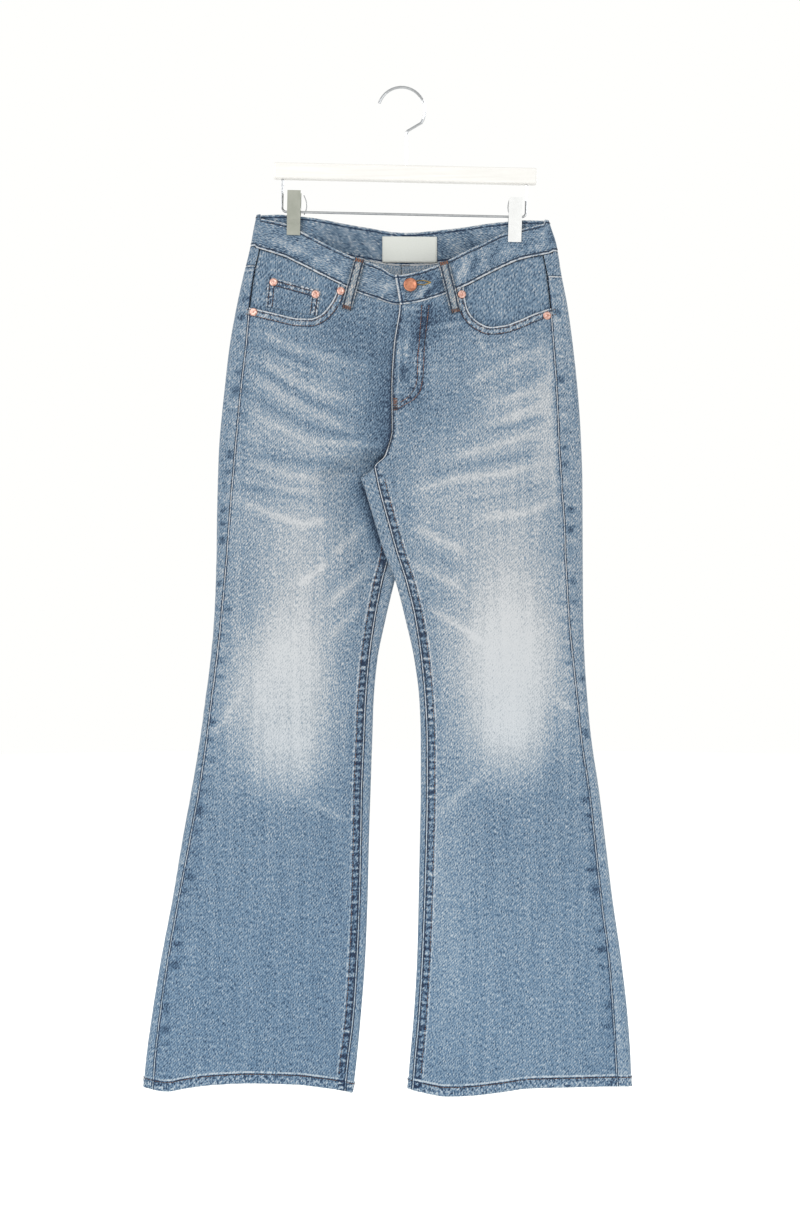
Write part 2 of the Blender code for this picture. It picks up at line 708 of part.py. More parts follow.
def waist_label(finish):
    """A plain patch on the inside of the back waistband."""
    rows = []
    for part in (0.0, 0.5, 1.0):
        row = []
        for t in (0.0, 0.2, 0.35, 0.5, 0.65, 0.8, 1.0):
            x = mix(LABEL["x"][0], LABEL["x"][1], t)
            z = mix(LABEL["top"][0], LABEL["top"][1], t) - part * LABEL["height"]
            side = LEFT if x > 0.0 else RIGHT
            point, out = on_back(side, x, z)
            row.append((point - out * (BAND_CLOTH + BAND_SEAT + LABEL["cloth"]), -out))
        rows.append(row)
    return cloth("waist_label", rows, LABEL["cloth"], finish)

SLOPE_REACH = 4.0


def turned(name, profile, place, stand_off, steps, finish):
    """A profile of radius and height turned about the direction out of the front sheet at a place."""
    side, x, z = place
    reach = SLOPE_REACH
    point = Vector((x, front_y(side, x, z), z))
    slope_x = (front_y(side, x + reach, z) - front_y(side, x - reach, z)) / (2.0 * reach)
    slope_z = (front_y(side, x, z + reach) - front_y(side, x, z - reach)) / (2.0 * reach)
    out = Vector((slope_x, -1.0, slope_z)).normalized()
    data = bpy.data.meshes.new(name)
    vertices = [Vector((radius, 0.0, height)) * MM for radius, height in profile]
    edges = [(i, i + 1) for i in range(len(vertices) - 1)]
    data.from_pydata(vertices, edges, [])
    piece = add_object(name, data, finish)
    screw = piece.modifiers.new("Turn", "SCREW")
    screw.axis = "Z"
    screw.steps = steps
    screw.render_steps = steps
    screw.use_merge_vertices = True
    screw.merge_threshold = 0.00001
    screw.use_smooth_shade = True
    piece.location = (point + out * stand_off) * MM
    piece.rotation_euler = out.to_track_quat("Z", "Y").to_euler()
    return piece


BUTTON_PLACE = (10.7, -240.0)
BUTTON_PROFILE = ((0.0, 4.2), (5.4, 4.2), (6.2, 4.9), (7.4, 4.9), (8.3, 4.0), (8.3, 3.0), (7.4, 2.2),
                  (3.4, 2.0), (3.4, 0.0), (0.0, 0.0))
RIVET_PROFILE = ((0.0, 1.2), (1.7, 1.2), (2.3, 1.7), (3.9, 1.5), (5.0, 0.8), (5.0, 0.0), (0.0, 0.0))
RIVET_SEAT = 0.4
BUTTON_SEAT = 0.35
# Each rivet's side, place and how far below the front panel's face it sits
RIVETS = {
    "rivet_coin_outer": (RIGHT, -153.8, -235.0, 0.2),
    "rivet_coin_inner": (RIGHT, -103.0, -250.4, 0.5),
    "rivet_right_inner": (RIGHT, -72.6, -246.8, 0.0),
    "rivet_right_outer": (RIGHT, -177.8, -271.0, 0.0),
    "rivet_left_inner": (LEFT, 72.2, -251.0, 0.0),
    "rivet_left_outer": (LEFT, 174.8, -275.3, 0.0),
}


def wire(name, points, thickness, finish, parent=None, sides=2):
    """A round wire through points, as a poly spline with filled ends."""
    curve = bpy.data.curves.new(name, "CURVE")
    curve.dimensions = "3D"
    curve.bevel_depth = 0.5 * thickness * MM
    curve.bevel_resolution = sides
    curve.use_fill_caps = True
    spline = curve.splines.new("POLY")
    spline.points.add(len(points) - 1)
    for spot, point in zip(spline.points, points):
        spot.co = (*[value * MM for value in point], 1.0)
    spline.use_smooth = True
    return add_object(name, curve, finish, parent)


def arc(centre, radius, start, stop, steps):
    """Points on an arc in the XZ plane, angles in degrees from +X towards +Z."""
    points = []
    for step in range(steps + 1):
        angle = math.radians(mix(start, stop, step / steps))
        points.append((centre[0] + radius * math.cos(angle), 0.0, centre[1] + radius * math.sin(angle)))
    return points


def hanger_hook(finish):
    centre = (0.0, -HOOK_RADIUS + 0.5 * HOOK_WIRE)
    bar_top = BAR_CENTRE[2] + 0.5 * BAR_SIZE[2] + 2.0 * GAP
    points = arc(centre, HOOK_RADIUS, *HOOK_ANGLES, 20)
    points += arc(NECK_CENTRE, NECK_RADIUS, *NECK_ANGLES, 3)
    points += [(STEM_X, 0.0, NECK_LEVEL), (STEM_X, 0.0, bar_top)]
    return wire("hanger_hook", points, HOOK_WIRE, finish)


def hanger_bar(finish, frame):
    mesh = bmesh.new()
    bmesh.ops.create_cube(mesh, size=1.0, matrix=Matrix.Diagonal([value * MM for value in BAR_SIZE] + [1]))
    data = bpy.data.meshes.new("hanger_bar")
    mesh.to_mesh(data)
    mesh.free()
    piece = add_object("hanger_bar", data, finish, frame)
    piece.location = [value * MM for value in BAR_CENTRE]
    bevel = piece.modifiers.new("Rounded edges", "BEVEL")
    bevel.width = BAR_EDGE * MM
    bevel.segments = 3
    return piece


def hanger_rail(finish, frame):
    """A wire under the bar that carries the clips, turned up at both ends."""
    left, right = RAIL_ENDS
    corner = RAIL_CORNER
    under_bar = BAR_CENTRE[2] - 0.5 * BAR_SIZE[2] - GAP
    points = [(left, 0.0, under_bar)]
    points += arc((left + corner, RAIL_LEVEL + corner), corner, 180.0, 270.0, 4)
    points += [(mix(left, right, t), 0.0, RAIL_LEVEL) for t in (0.3, 0.5, 0.7)]
    points += arc((right - corner, RAIL_LEVEL + corner), corner, 270.0, 360.0, 4)
    points += [(right, 0.0, under_bar)]
    return wire("hanger_rail", points, RAIL_WIRE, finish, frame)


def clip(name, finish, frame):
    """Two sprung plates joined by a bridge that rides on the rail. Their lower ends grip the band."""
    x, top = CLIP_PLACES[name]
    jaw = PINCH_DEPTH + GAP + CLIP_JAW
    bridge = RAIL_LEVEL + 0.5 * RAIL_WIRE + GAP - top
    low = -CLIP_HEIGHT
    mouth = CLIP_MOUTH
    front = [(mouth["top"], 0.0), (mouth["top"] + CLIP_PLATE, 0.0),
             (mouth["waist"] + CLIP_PLATE, bridge - CLIP_BEND),
             (jaw + CLIP_PLATE, low + CLIP_BEND), (jaw + CLIP_PLATE, low), (jaw, low),
             (jaw, low + CLIP_BEND), (mouth["bridge"], bridge - CLIP_NECK), (mouth["bridge"], bridge)]
    valley = bridge + CLIP_VALLEY
    outline = front + [(-y, z) for y, z in reversed(front)]
    outline += [(-mouth["valley"], valley), (mouth["valley"], valley)]
    curve = bpy.data.curves.new(name, "CURVE")
    curve.dimensions = "2D"
    curve.fill_mode = "BOTH"
    curve.extrude = 0.5 * CLIP_WIDTH * MM
    spline = curve.splines.new("POLY")
    spline.points.add(len(outline) - 1)
    for spot, (y, z) in zip(spline.points, outline):
        spot.co = (y * MM, z * MM, 0.0, 1.0)
    spline.use_cyclic_u = True
    piece = add_object(name, curve, finish, frame)
    piece.matrix_local = Matrix.Translation(Vector((x, 0.0, top)) * MM) @ Matrix(
        ((0, 0, 1, 0), (1, 0, 0, 0), (0, 1, 0, 0), (0, 0, 0, 1)))
    return piece


def build():
    denim = material("denim", (0.26, 0.37, 0.50), 0.85)
    denim_dark = material("denim_dark", (0.16, 0.24, 0.36), 0.85)
    copper = material("copper", (0.72, 0.42, 0.32), 0.35, 1.0)
    paint = material("white_paint", (0.88, 0.87, 0.84), 0.45)
    chrome = material("chrome", (0.75, 0.75, 0.76), 0.2, 1.0)
    plate = material("clip_plate", (0.72, 0.74, 0.72), 0.4)
    label = material("label", (0.69, 0.72, 0.69), 0.7)

    frame = bpy.data.objects.new("hanger_frame", None)
    PARTS.objects.link(frame)
    frame.rotation_euler = (0.0, HANGER_LEAN, 0.0)
    hanger_bar(paint, frame)
    hanger_hook(chrome)
    hanger_rail(chrome, frame)
    for name in CLIP_PLACES:
        clip(name, plate, frame)

    for side, word in ((RIGHT, "right"), (LEFT, "left")):
        front_panel(side, "front_panel_" + word, denim)
        back_panel(side, "back_panel_" + word, denim)
        yoke(side, "back_yoke_" + word, denim)
        pocket_facing(side, "pocket_facing_" + word, denim)
        back_pocket(side, "back_pocket_" + word, denim)
    waistband(denim)
    coin_pocket(denim)
    for name in LOOP_ENDS:
        belt_loop(name, denim_dark)
    waist_label(label)

    turned("waist_button", BUTTON_PROFILE, (LEFT, *BUTTON_PLACE), BUTTON_SEAT, 20, copper)
    for name, (side, x, z, sink) in RIVETS.items():
        turned(name, RIVET_PROFILE, (side, x, z), RIVET_SEAT - sink, 12, copper)


for old in list(bpy.data.objects):
    bpy.data.objects.remove(old, do_unlink=True)
PARTS = bpy.data.collections.new("bootcut_jeans")
bpy.context.scene.collection.children.link(PARTS)
build()
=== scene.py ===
# %% [markdown]
# # Bootcut jeans on a clip hanger
# The jeans hang flat from two spring clips. Every solid of the part is already there as a frame.
# This lesson dresses it: each piece of cloth becomes a fine thin sheet on the form of its solid,
# with its seams, puckers, fades and stitches, and the hanger gets its wood, chrome and plate.

import bisect
import math

import bmesh
import bpy
import numpy as np
from mathutils import Matrix, Vector


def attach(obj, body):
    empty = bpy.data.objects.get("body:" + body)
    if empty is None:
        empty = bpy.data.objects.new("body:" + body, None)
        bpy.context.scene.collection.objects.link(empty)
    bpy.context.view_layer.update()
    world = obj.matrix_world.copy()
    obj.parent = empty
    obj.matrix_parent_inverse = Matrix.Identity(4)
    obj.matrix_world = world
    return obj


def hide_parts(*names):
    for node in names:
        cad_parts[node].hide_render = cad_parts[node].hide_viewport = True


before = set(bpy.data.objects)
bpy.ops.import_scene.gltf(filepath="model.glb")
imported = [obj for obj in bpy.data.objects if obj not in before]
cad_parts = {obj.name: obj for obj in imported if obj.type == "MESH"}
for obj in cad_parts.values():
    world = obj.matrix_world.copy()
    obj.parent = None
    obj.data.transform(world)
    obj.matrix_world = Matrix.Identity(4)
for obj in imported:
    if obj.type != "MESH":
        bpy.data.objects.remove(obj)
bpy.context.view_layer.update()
print("solids in the frame:", len(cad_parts))

# %% [markdown]
# The camera comes first. The photograph was taken level, from straight in front, with a longer lens
# than a phone's wide one. A camera 2.4 m away sees 1.447 m from the top to the bottom of the picture.

# %% Camera
MM = 0.001
PICTURE_CENTRE = (-1.8, -620.4)
PICTURE_HEIGHT = 1447.2
CAMERA_DISTANCE = 2400.0
SENSOR = 36.0

lens = bpy.data.cameras.new("photo_camera")
lens.sensor_width = SENSOR
lens.lens = SENSOR * CAMERA_DISTANCE / PICTURE_HEIGHT
camera = bpy.data.objects.new("photo_camera", lens)
bpy.context.scene.collection.objects.link(camera)
camera.location = Vector((PICTURE_CENTRE[0], -CAMERA_DISTANCE - 12.0, PICTURE_CENTRE[1])) * MM
camera.rotation_euler = (math.radians(90.0), 0.0, 0.0)
bpy.context.scene.camera = camera
bpy.context.scene.view_settings.view_transform = "Standard"
print("lens:", round(lens.lens, 1), "mm")

# %% [markdown]
# The shape of the jeans is a short table for each half: where the side fold, the side seam and the
# inner seam lie at each level, and how far the cloth stands before and behind the hanger. Between the
# rows a smooth curve is read. All these sizes are in millimetres.

# %% Reading a table smoothly
def smooth(t):
    t = min(max(t, 0.0), 1.0)
    return t * t * (3.0 - 2.0 * t)


def ramp(value, start, stop):
    return smooth((value - start) / (stop - start))


def mix(a, b, t):
    return a + (b - a) * t


class Table:
    """Rows under named columns, read between the rows along a smooth curve that never overshoots."""

    def __init__(self, columns, rows):
        rows = sorted(rows)
        self.knots = [row[0] for row in rows]
        self.columns = {}
        for index, name in enumerate(columns.split()):
            values = [row[index] for row in rows]
            self.columns[name] = (values, self.slopes(values))

    def slopes(self, values):
        knots = self.knots
        steps = [(values[i + 1] - values[i]) / (knots[i + 1] - knots[i]) for i in range(len(knots) - 1)]
        inner = []
        for before, after in zip(steps, steps[1:]):
            level = before * after <= 0.0
            inner.append(0.0 if level else 2.0 * before * after / (before + after))
        return [steps[0]] + inner + [steps[-1]]

    def read(self, name, at):
        values, slopes = self.columns[name]
        knots = self.knots
        at = min(max(at, knots[0]), knots[-1])
        low = max(min(bisect.bisect_right(knots, at), len(knots) - 1) - 1, 0)
        step = knots[low + 1] - knots[low]
        t = (at - knots[low]) / step
        rise = values[low + 1] - values[low]
        start, stop = slopes[low] * step, slopes[low + 1] * step
        return values[low] + t * (start + t * (3 * rise - 2 * start - stop + t * (start + stop - 2 * rise)))


print("a smooth rise from 0 to 1:", [round(smooth(k / 4.0), 3) for k in range(5)])

# %% [markdown]
# `outer` is where the side fold ends, `outseam` and `seam` are the side seam and the inner seam, and
# `end` is where the half ends, at the middle or at the inner fold. `front` and `back` are the depths
# at that end. `SWELL` has the fold's radius and how far the cloth swells between fold and end.

# %% The two halves, level by level
RIGHT = -1
LEFT = 1
SIDES = ((RIGHT, "right"), (LEFT, "left"))
HALF_COLUMNS = "z outer outseam seam end front back"
HALVES = {
    RIGHT: Table(HALF_COLUMNS, (
        (-150, -174.5, -166.5, 0.0, 0.0, 12.0, 14.0),
        (-192, -182.5, -171.0, -0.5, 0.0, 13.5, 18.0),
        (-225, -190.5, -177.8, -1.5, 0.0, 15.0, 22.0),
        (-264, -199.0, -183.2, -2.5, 0.0, 17.0, 26.0),
        (-312, -207.5, -187.5, -9.5, -1.0, 17.5, 27.0),
        (-364, -213.5, -193.5, -12.5, -2.0, 16.0, 23.0),
        (-413, -218.5, -198.0, -12.0, -4.0, 14.0, 15.0),
        (-436, -220.2, -200.3, -17.5, -8.0, 13.2, 11.0),
        (-445, -220.6, -201.0, -21.0, -12.0, 12.0, 9.8),
        (-457, -221.0, -202.0, -32.3, -9.0, 6.0, 7.8),
        (-469, -221.4, -203.0, -24.5, -1.0, 4.2, 6.0),
        (-483, -221.8, -204.5, -18.0, 6.5, 4.2, 4.8),
        (-500, -222.2, -205.7, -14.5, 9.0, 4.2, 4.6),
        (-525, -222.7, -207.7, -12.5, 8.0, 4.2, 4.6),
        (-557, -223.0, -210.0, -14.5, 1.8, 4.2, 4.6),
        (-596, -224.0, -213.5, -23.5, -8.5, 4.2, 4.6),
        (-640, -226.0, -217.5, -32.0, -19.0, 4.4, 4.6),
        (-690, -230.5, -223.0, -39.0, -29.0, 4.6, 4.6),
        (-740, -237.0, -229.5, -43.0, -33.5, 4.6, 4.6),
        (-785, -243.0, -235.0, -45.0, -35.0, 4.6, 4.6),
        (-845, -253.0, -244.0, -47.5, -37.0, 4.6, 4.6),
        (-905, -264.0, -255.0, -48.5, -39.0, 4.6, 4.6),
        (-974, -275.5, -268.0, -50.0, -40.5, 4.6, 4.6),
        (-1050, -290.0, -281.5, -53.0, -43.5, 4.8, 4.8),
        (-1121, -301.5, -291.5, -58.0, -49.0, 5.0, 5.0),
        (-1174, -308.5, -297.5, -64.5, -54.0, 5.0, 5.0),
        (-1215, -312.0, -300.0, -68.5, -59.0, 5.0, 5.0),
    )),
    LEFT: Table(HALF_COLUMNS, (
        (-150, 175.0, 167.0, 0.0, 0.0, 12.0, 14.0),
        (-192, 187.5, 169.5, -0.5, 0.0, 13.5, 18.0),
        (-225, 193.0, 175.5, -1.5, 0.0, 15.0, 22.0),
        (-264, 200.5, 179.8, -2.5, 0.0, 17.0, 26.0),
        (-312, 207.0, 183.5, -9.5, -1.0, 17.5, 27.0),
        (-364, 212.5, 187.0, -12.5, -2.0, 16.0, 23.0),
        (-413, 216.0, 189.2, -12.0, -4.0, 14.0, 15.0),
        (-436, 217.0, 190.0, -17.5, -8.0, 13.2, 11.0),
        (-445, 217.4, 190.6, -21.0, -12.0, 13.4, 7.0),
        (-457, 217.8, 191.5, -32.3, -26.0, 13.8, 1.5),
        (-469, 218.2, 192.5, -30.0, -49.0, 14.5, -5.9),
        (-483, 218.3, 193.2, -27.0, -44.5, 14.5, -5.9),
        (-500, 218.4, 194.5, -22.5, -39.5, 14.5, -5.9),
        (-525, 218.5, 196.2, -15.5, -32.0, 14.5, -5.9),
        (-557, 218.6, 197.2, -6.5, -22.0, 14.5, -5.9),
        (-596, 218.8, 199.3, 6.0, -7.0, 14.5, -5.9),
        (-640, 219.2, 202.0, 16.5, 4.5, 10.0, -1.5),
        (-690, 221.0, 207.0, 24.0, 15.5, 6.0, 3.2),
        (-740, 224.5, 212.5, 28.5, 21.5, 4.6, 4.6),
        (-785, 229.0, 217.0, 30.4, 23.0, 4.6, 4.6),
        (-845, 238.0, 226.0, 30.5, 23.0, 4.6, 4.6),
        (-905, 245.5, 233.0, 29.5, 22.0, 4.6, 4.6),
        (-974, 254.0, 240.5, 27.5, 20.5, 4.6, 4.6),
        (-1050, 265.0, 250.0, 24.5, 18.5, 4.6, 4.6),
        (-1121, 273.0, 255.5, 20.2, 14.3, 4.6, 4.6),
        (-1174, 276.5, 258.5, 15.4, 9.6, 4.6, 4.6),
        (-1215, 277.5, 260.5, 12.5, 6.5, 4.6, 4.6),
    )),
}
SWELL = Table("z fold front back", (
    (-150, 5.0, 0.0, 0.0), (-192, 5.5, 1.0, 2.0), (-225, 6.0, 2.0, 3.0), (-264, 6.5, 3.0, 5.0),
    (-312, 7.0, 6.0, 8.0), (-364, 7.0, 10.0, 12.0), (-413, 7.0, 14.0, 17.0), (-470, 7.0, 16.0, 20.0),
    (-560, 7.0, 16.0, 20.0), (-650, 7.0, 15.0, 17.0), (-740, 7.0, 13.0, 14.0), (-850, 7.0, 13.0, 14.0),
    (-960, 7.0, 15.0, 16.0), (-1090, 8.0, 17.0, 18.0), (-1215, 8.0, 19.0, 20.0)))
print("levels in the two halves:", [len(HALVES[side].knots) for side, word in SIDES])

# %% [markdown]
# What runs across is a table along x: both edges of the waistband before and behind, the curved
# pocket mouths and the hems. The lower seams of the yokes fall evenly from the sides to the centre.

# %% The waistband's edges, the pocket mouths and the hems
FRONT_BAND = Table("x top bottom", (
    (-182, -155.0, -190.8), (-158, -159.7, -197.5), (-141, -163.0, -203.0), (-117.5, -174.5, -214.5),
    (-95.5, -186.5, -226.5), (-72.5, -199.0, -238.5), (-54.5, -207.0, -248.0), (-29, -215.5, -256.5),
    (-4.5, -227.5, -263.0), (17, -224.0, -260.5), (40, -216.5, -254.5), (54.5, -210.0, -249.5),
    (78, -198.0, -239.5), (101.5, -186.0, -226.5), (124, -175.0, -214.5), (146, -169.5, -205.5),
    (187, -160.5, -198.0)))
BACK_BAND = Table("x top bottom", (
    (-182, -153.0, -190.5), (-152, -151.9, -190.0), (-122, -154.2, -192.7), (-86, -158.3, -196.8),
    (-50, -163.8, -202.6), (4, -171.2, -210.2), (58, -166.9, -205.6), (94, -163.2, -202.0),
    (124, -160.8, -199.5), (147, -158.8, -197.0), (187, -159.2, -197.0)))
SCOOPS = {
    RIGHT: Table("x z", (
        (-186, -264.5), (-161.5, -270.5), (-142, -275.5), (-124, -279.5), (-108.5, -280.0),
        (-97, -275.5), (-88, -266.5), (-82, -257.5), (-78, -248.5), (-75.5, -238.5))),
    LEFT: Table("x z", (
        (186, -264.0), (159, -273.5), (140, -282.0), (123, -288.0), (106, -290.0),
        (93, -285.0), (83.5, -276.5), (77.5, -264.5), (75.5, -253.0), (74.5, -242.0))),
}
YOKE_SIDE = {RIGHT: -214.0, LEFT: -227.0}
YOKE_CENTRE = -281.0
HEMS = {
    RIGHT: Table("x z", (
        (-311, -1202.5), (-284, -1206.5), (-256, -1201.0), (-227, -1196.5), (-184, -1194.0),
        (-127, -1196.5), (-98, -1201.0), (-69, -1207.0), (-60, -1210.0))),
    LEFT: Table("x z", (
        (7, -1205.0), (22, -1208.0), (50, -1212.0), (82, -1210.0), (118, -1205.0),
        (154, -1200.0), (190, -1199.5), (238, -1200.0), (277, -1202.0))),
}
for side, word in SIDES:
    print(word, "hem at the middle of the leg:", round(HEMS[side].read("z", side * 170.0), 1))

# %% [markdown]
# Some sizes hold all along the jeans: the thickness of the cloth, the gap between two pieces at a
# seam, the width and rise of felled seams and hems, where the clips pinch the band, and from where
# to where one leg lies before the other.

# %% Sizes that hold everywhere
CLOTH = 1.5
GAP = 0.3
EDGE = 0.2
FELL_WIDTH = 11.0
FELL_RISE = 0.8
HEM_HEIGHT = 12.6
HEM_RISE = 0.7
HEM_LEVEL = -1200.0
HEM_WAVE = (1000.0, 1150.0)
CLIP_X = (-129.6, 136.8)
PINCH_DEPTH = 3.1
PINCH_FLAT = 13.0
PINCH_REACH = 62.0
PINCH_LEVELS = (-250.0, -192.0)
FOLD_LEVEL = -469.0
FOLD_START = -455.0
OVERLAP_START = (-440.0, -464.0)
OVERLAP_END = (-605.0, -665.0)
OVERLAP_REACH = 60.0
LEFT_REAR = -5.9
RIGHT_FRONT = -3.9
CROTCH_LIFT = 11.6
RIGHT_LEAD = 10.0
LIFT_FADE = 60.0
FAR = 99.0
print("cloth", CLOTH, "mm, felled seams", FELL_WIDTH, "mm, hems", HEM_HEIGHT, "mm")

# %% [markdown]
# The depth grows from the side fold to the end of the half as a quarter wave with a swell on it. A
# clip pinches the waistband nearly flat. Just below the crotch the wearer's left half lies before
# the right one, so each has only its own share of the depth there.

# %% Depth before and behind
def half(side, name, z):
    return HALVES[side].read(name, z)


def overlap(z):
    return ramp(z, *OVERLAP_START) * (1.0 - ramp(z, *OVERLAP_END))


def pinch(x, z):
    nearest = min(abs(x - centre) for centre in CLIP_X)
    return (1.0 - ramp(nearest, PINCH_FLAT, PINCH_REACH)) * ramp(z, *PINCH_LEVELS)


def turn_radius(side, z):
    return 0.5 * (half(side, "front", z) + half(side, "back", z))


def across(side, x, z):
    fold = SWELL.read("fold", z)
    end_turn = turn_radius(side, z) * ramp(z, FOLD_START, FOLD_LEVEL)
    span = abs(half(side, "end", z) - half(side, "outer", z)) - fold - end_turn
    return min(max((abs(x - half(side, "outer", z)) - fold) / span, 0.0), 1.0)


def depth(side, x, z, sheet):
    u = across(side, x, z)
    rise = math.sin(0.5 * math.pi * u)
    end = half(side, sheet, z)
    value = mix(SWELL.read("fold", z), end, rise) + SWELL.read(sheet, z) * 4.0 * u * (1.0 - u)
    return mix(value, PINCH_DEPTH, pinch(x, z))


def front_y(side, x, z):
    y = -depth(side, x, z, "front")
    if side == RIGHT:
        away = (half(LEFT, "end", z) - 6.0) - x
        y = mix(y, RIGHT_FRONT, overlap(z - RIGHT_LEAD) * (1.0 - smooth(away / OVERLAP_REACH)))
    return y


def back_y(side, x, z):
    y = depth(side, x, z, "back")
    if side == LEFT:
        away = x - (half(RIGHT, "end", z) + 6.0)
        y = mix(y, LEFT_REAR, overlap(z) * (1.0 - smooth(away / OVERLAP_REACH)))
    return y


def on_front(side, x, z):
    slope = front_y(side, x + 0.5, z) - front_y(side, x - 0.5, z)
    return Vector((x, front_y(side, x, z), z)), Vector((slope, -1.0, 0.0)).normalized()


def on_back(side, x, z):
    slope = back_y(side, x + 0.5, z) - back_y(side, x - 0.5, z)
    return Vector((x, back_y(side, x, z), z)), Vector((-slope, 1.0, 0.0)).normalized()


for side, word in SIDES:
    print(word, "knee, before and behind:", round(-front_y(side, side * 130.0, -720.0), 1),
          round(back_y(side, side * 130.0, -720.0), 1))

# %% [markdown]
# A leg's section is a chain of stations: across the front from the side seam to the inner seam, and
# from the side seam over a narrow strip, round the side fold, across the back, round the inner fold
# and over a flap to the inner seam again. A station gives a point and the direction out of the cloth.

# %% Where the cloth lies
def round_fold(centre_x, centre_y, radius, out, angle, z):
    direction = Vector((out * math.cos(math.radians(angle)), math.sin(math.radians(angle)), 0.0))
    return Vector((centre_x, centre_y, z)) + direction * radius, direction


def station(side, kind, t, z, seam_z=None):
    """A point of a half's section and its outward direction."""
    into = -side
    fold = SWELL.read("fold", z)
    cap_x = half(side, "outer", z) + into * fold
    end_x = half(side, "end", z)
    radius = turn_radius(side, z)
    if kind == "front":
        start = half(side, "outseam", z) + into * EDGE
        stop = half(side, "seam", z) - into * EDGE
        return on_front(side, mix(start, stop, t), z)
    if kind == "strip":
        return on_front(side, mix(half(side, "outseam", z) - into * EDGE, cap_x, t), z)
    if kind == "cap":
        return round_fold(cap_x, 0.0, fold, -into, mix(-90.0, 90.0, t), z)
    if kind == "back":
        end_x -= into * (radius if z <= FOLD_LEVEL else EDGE)
        return on_back(side, mix(cap_x, end_x, t), z)
    centre_x = end_x - into * radius
    centre_y = 0.5 * (half(side, "back", z) - half(side, "front", z))
    if kind == "turn":
        return round_fold(centre_x, centre_y, radius, into, mix(90.0, -90.0, t), z)
    at = z if seam_z is None else mix(z, seam_z, t)
    seam_x = half(side, "seam", at) + into * EDGE
    return on_front(side, mix(centre_x, seam_x, t), at)


def hem_drop(side, kind, t, level):
    x = station(side, kind, t, HEM_LEVEL)[0].x
    return (HEMS[side].read("z", x) - HEM_LEVEL) * ramp(-level, *HEM_WAVE)


for kind in ("front", "strip", "cap", "back", "turn", "flap"):
    print("left knee,", kind, [round(value, 1) for value in station(LEFT, kind, 0.5, -720.0)[0]])

# %% [markdown]
# Shader maths reads best as Python sums. `Signal` wraps a socket, so `1 - mask` adds a Math node by
# itself.

# %% Writing materials as sums
class Signal:
    """A socket on which sums and products add Math nodes."""

    def __init__(self, finish, socket):
        self.finish = finish
        self.socket = socket

    def maths(self, operation, first, second):
        return self.finish.node("ShaderNodeMath", {"operation": operation}, {0: first, 1: second})

    def __add__(self, other):
        return self.maths("ADD", self, other)

    def __sub__(self, other):
        return self.maths("SUBTRACT", self, other)

    def __rsub__(self, other):
        return self.maths("SUBTRACT", other, self)

    def __mul__(self, other):
        return self.maths("MULTIPLY", self, other)

    __radd__ = __add__
    __rmul__ = __mul__


print("sums on a socket:", ", ".join(name.strip("_") for name in vars(Signal) if name.endswith("d__")))

# %% [markdown]
# A finish starts as one plain shader. Its methods add the few kinds of node that this scene needs,
# and `surface` feeds the shader's own sockets by name.

# %% A finish, built up node by node
class Finish:
    """A node material with one shader, built up by adding nodes."""

    def __init__(self, name):
        self.material = bpy.data.materials.new(name)
        self.material.use_nodes = True
        self.tree = self.material.node_tree
        self.shader = self.tree.nodes["Principled BSDF"]

    def feed(self, socket, value):
        if isinstance(value, Signal):
            self.tree.links.new(value.socket, socket)
        else:
            socket.default_value = value

    def node(self, kind, settings=None, inputs=None, output=0):
        made = self.tree.nodes.new(kind)
        for name, value in (settings or {}).items():
            if name == "stops":
                ramp_stops = made.color_ramp.elements
                while len(ramp_stops) < len(value):
                    ramp_stops.new(1.0)
                for stop, (position, colour) in zip(ramp_stops, value):
                    stop.position = position
                    stop.color = (*colour, 1.0)
            else:
                setattr(made, name, value)
        for socket, value in (inputs or {}).items():
            self.feed(made.inputs[socket], value)
        return Signal(self, made.outputs[output])

    def surface(self, **values):
        for name, value in values.items():
            self.feed(self.shader.inputs[name.replace("_", " ")], value)

    def between(self, value, low, high):
        """0 below low and 1 above high, with a soft rise."""
        return self.node("ShaderNodeMapRange", {"interpolation_type": "SMOOTHSTEP"},
                         {"Value": value, "From Min": low, "From Max": high})

    def band(self, value, start, stop, soft):
        return self.between(value, start - soft, start) * (1.0 - self.between(value, stop, stop + soft))

    def scaled(self, vector, scale):
        return self.node("ShaderNodeVectorMath", {"operation": "MULTIPLY"}, {0: vector, 1: scale})

    def noise(self, vector, scale, detail=2.0, roughness=0.5, dimensions="3D"):
        return self.node("ShaderNodeTexNoise", {"noise_dimensions": dimensions},
                         {"Vector": self.scaled(vector, scale), "Scale": 1.0, "Detail": detail,
                          "Roughness": roughness})

    def mask(self, name):
        return self.node("ShaderNodeAttribute", {"attribute_name": name}, output=2)

    def blend(self, first, second, share):
        made = self.tree.nodes.new("ShaderNodeMix")
        made.data_type = "RGBA"
        for socket, value in zip((0, 6, 7), (share, first, second)):
            self.feed(made.inputs[socket], value)
        return Signal(self, made.outputs[2])

    def place(self):
        """Where a point is on its object."""
        return self.node("ShaderNodeTexCoord", output=3)

    def weave(self):
        """Where a point is on its cloth, with the grain upright."""
        return self.node("ShaderNodeUVMap", {"uv_map": "cloth"})

    def coloured(self, value, *stops):
        return self.node("ShaderNodeValToRGB", {"stops": stops}, {"Fac": value})

    def bump(self, height, strength, distance):
        return self.node("ShaderNodeBump", None,
                         {"Height": height, "Strength": strength, "Distance": distance})


def mottled(name, noise, stops, rough, bump=None, **values):
    """A finish whose colour, roughness and bump all follow one noise."""
    made = Finish(name)
    mottle = made.noise(made.place(), *noise)
    made.surface(Base_Color=made.coloured(mottle, *stops), Roughness=rough[0] + mottle * rough[1], **values)
    if bump:
        made.surface(Normal=made.bump(mottle, *bump))
    return made


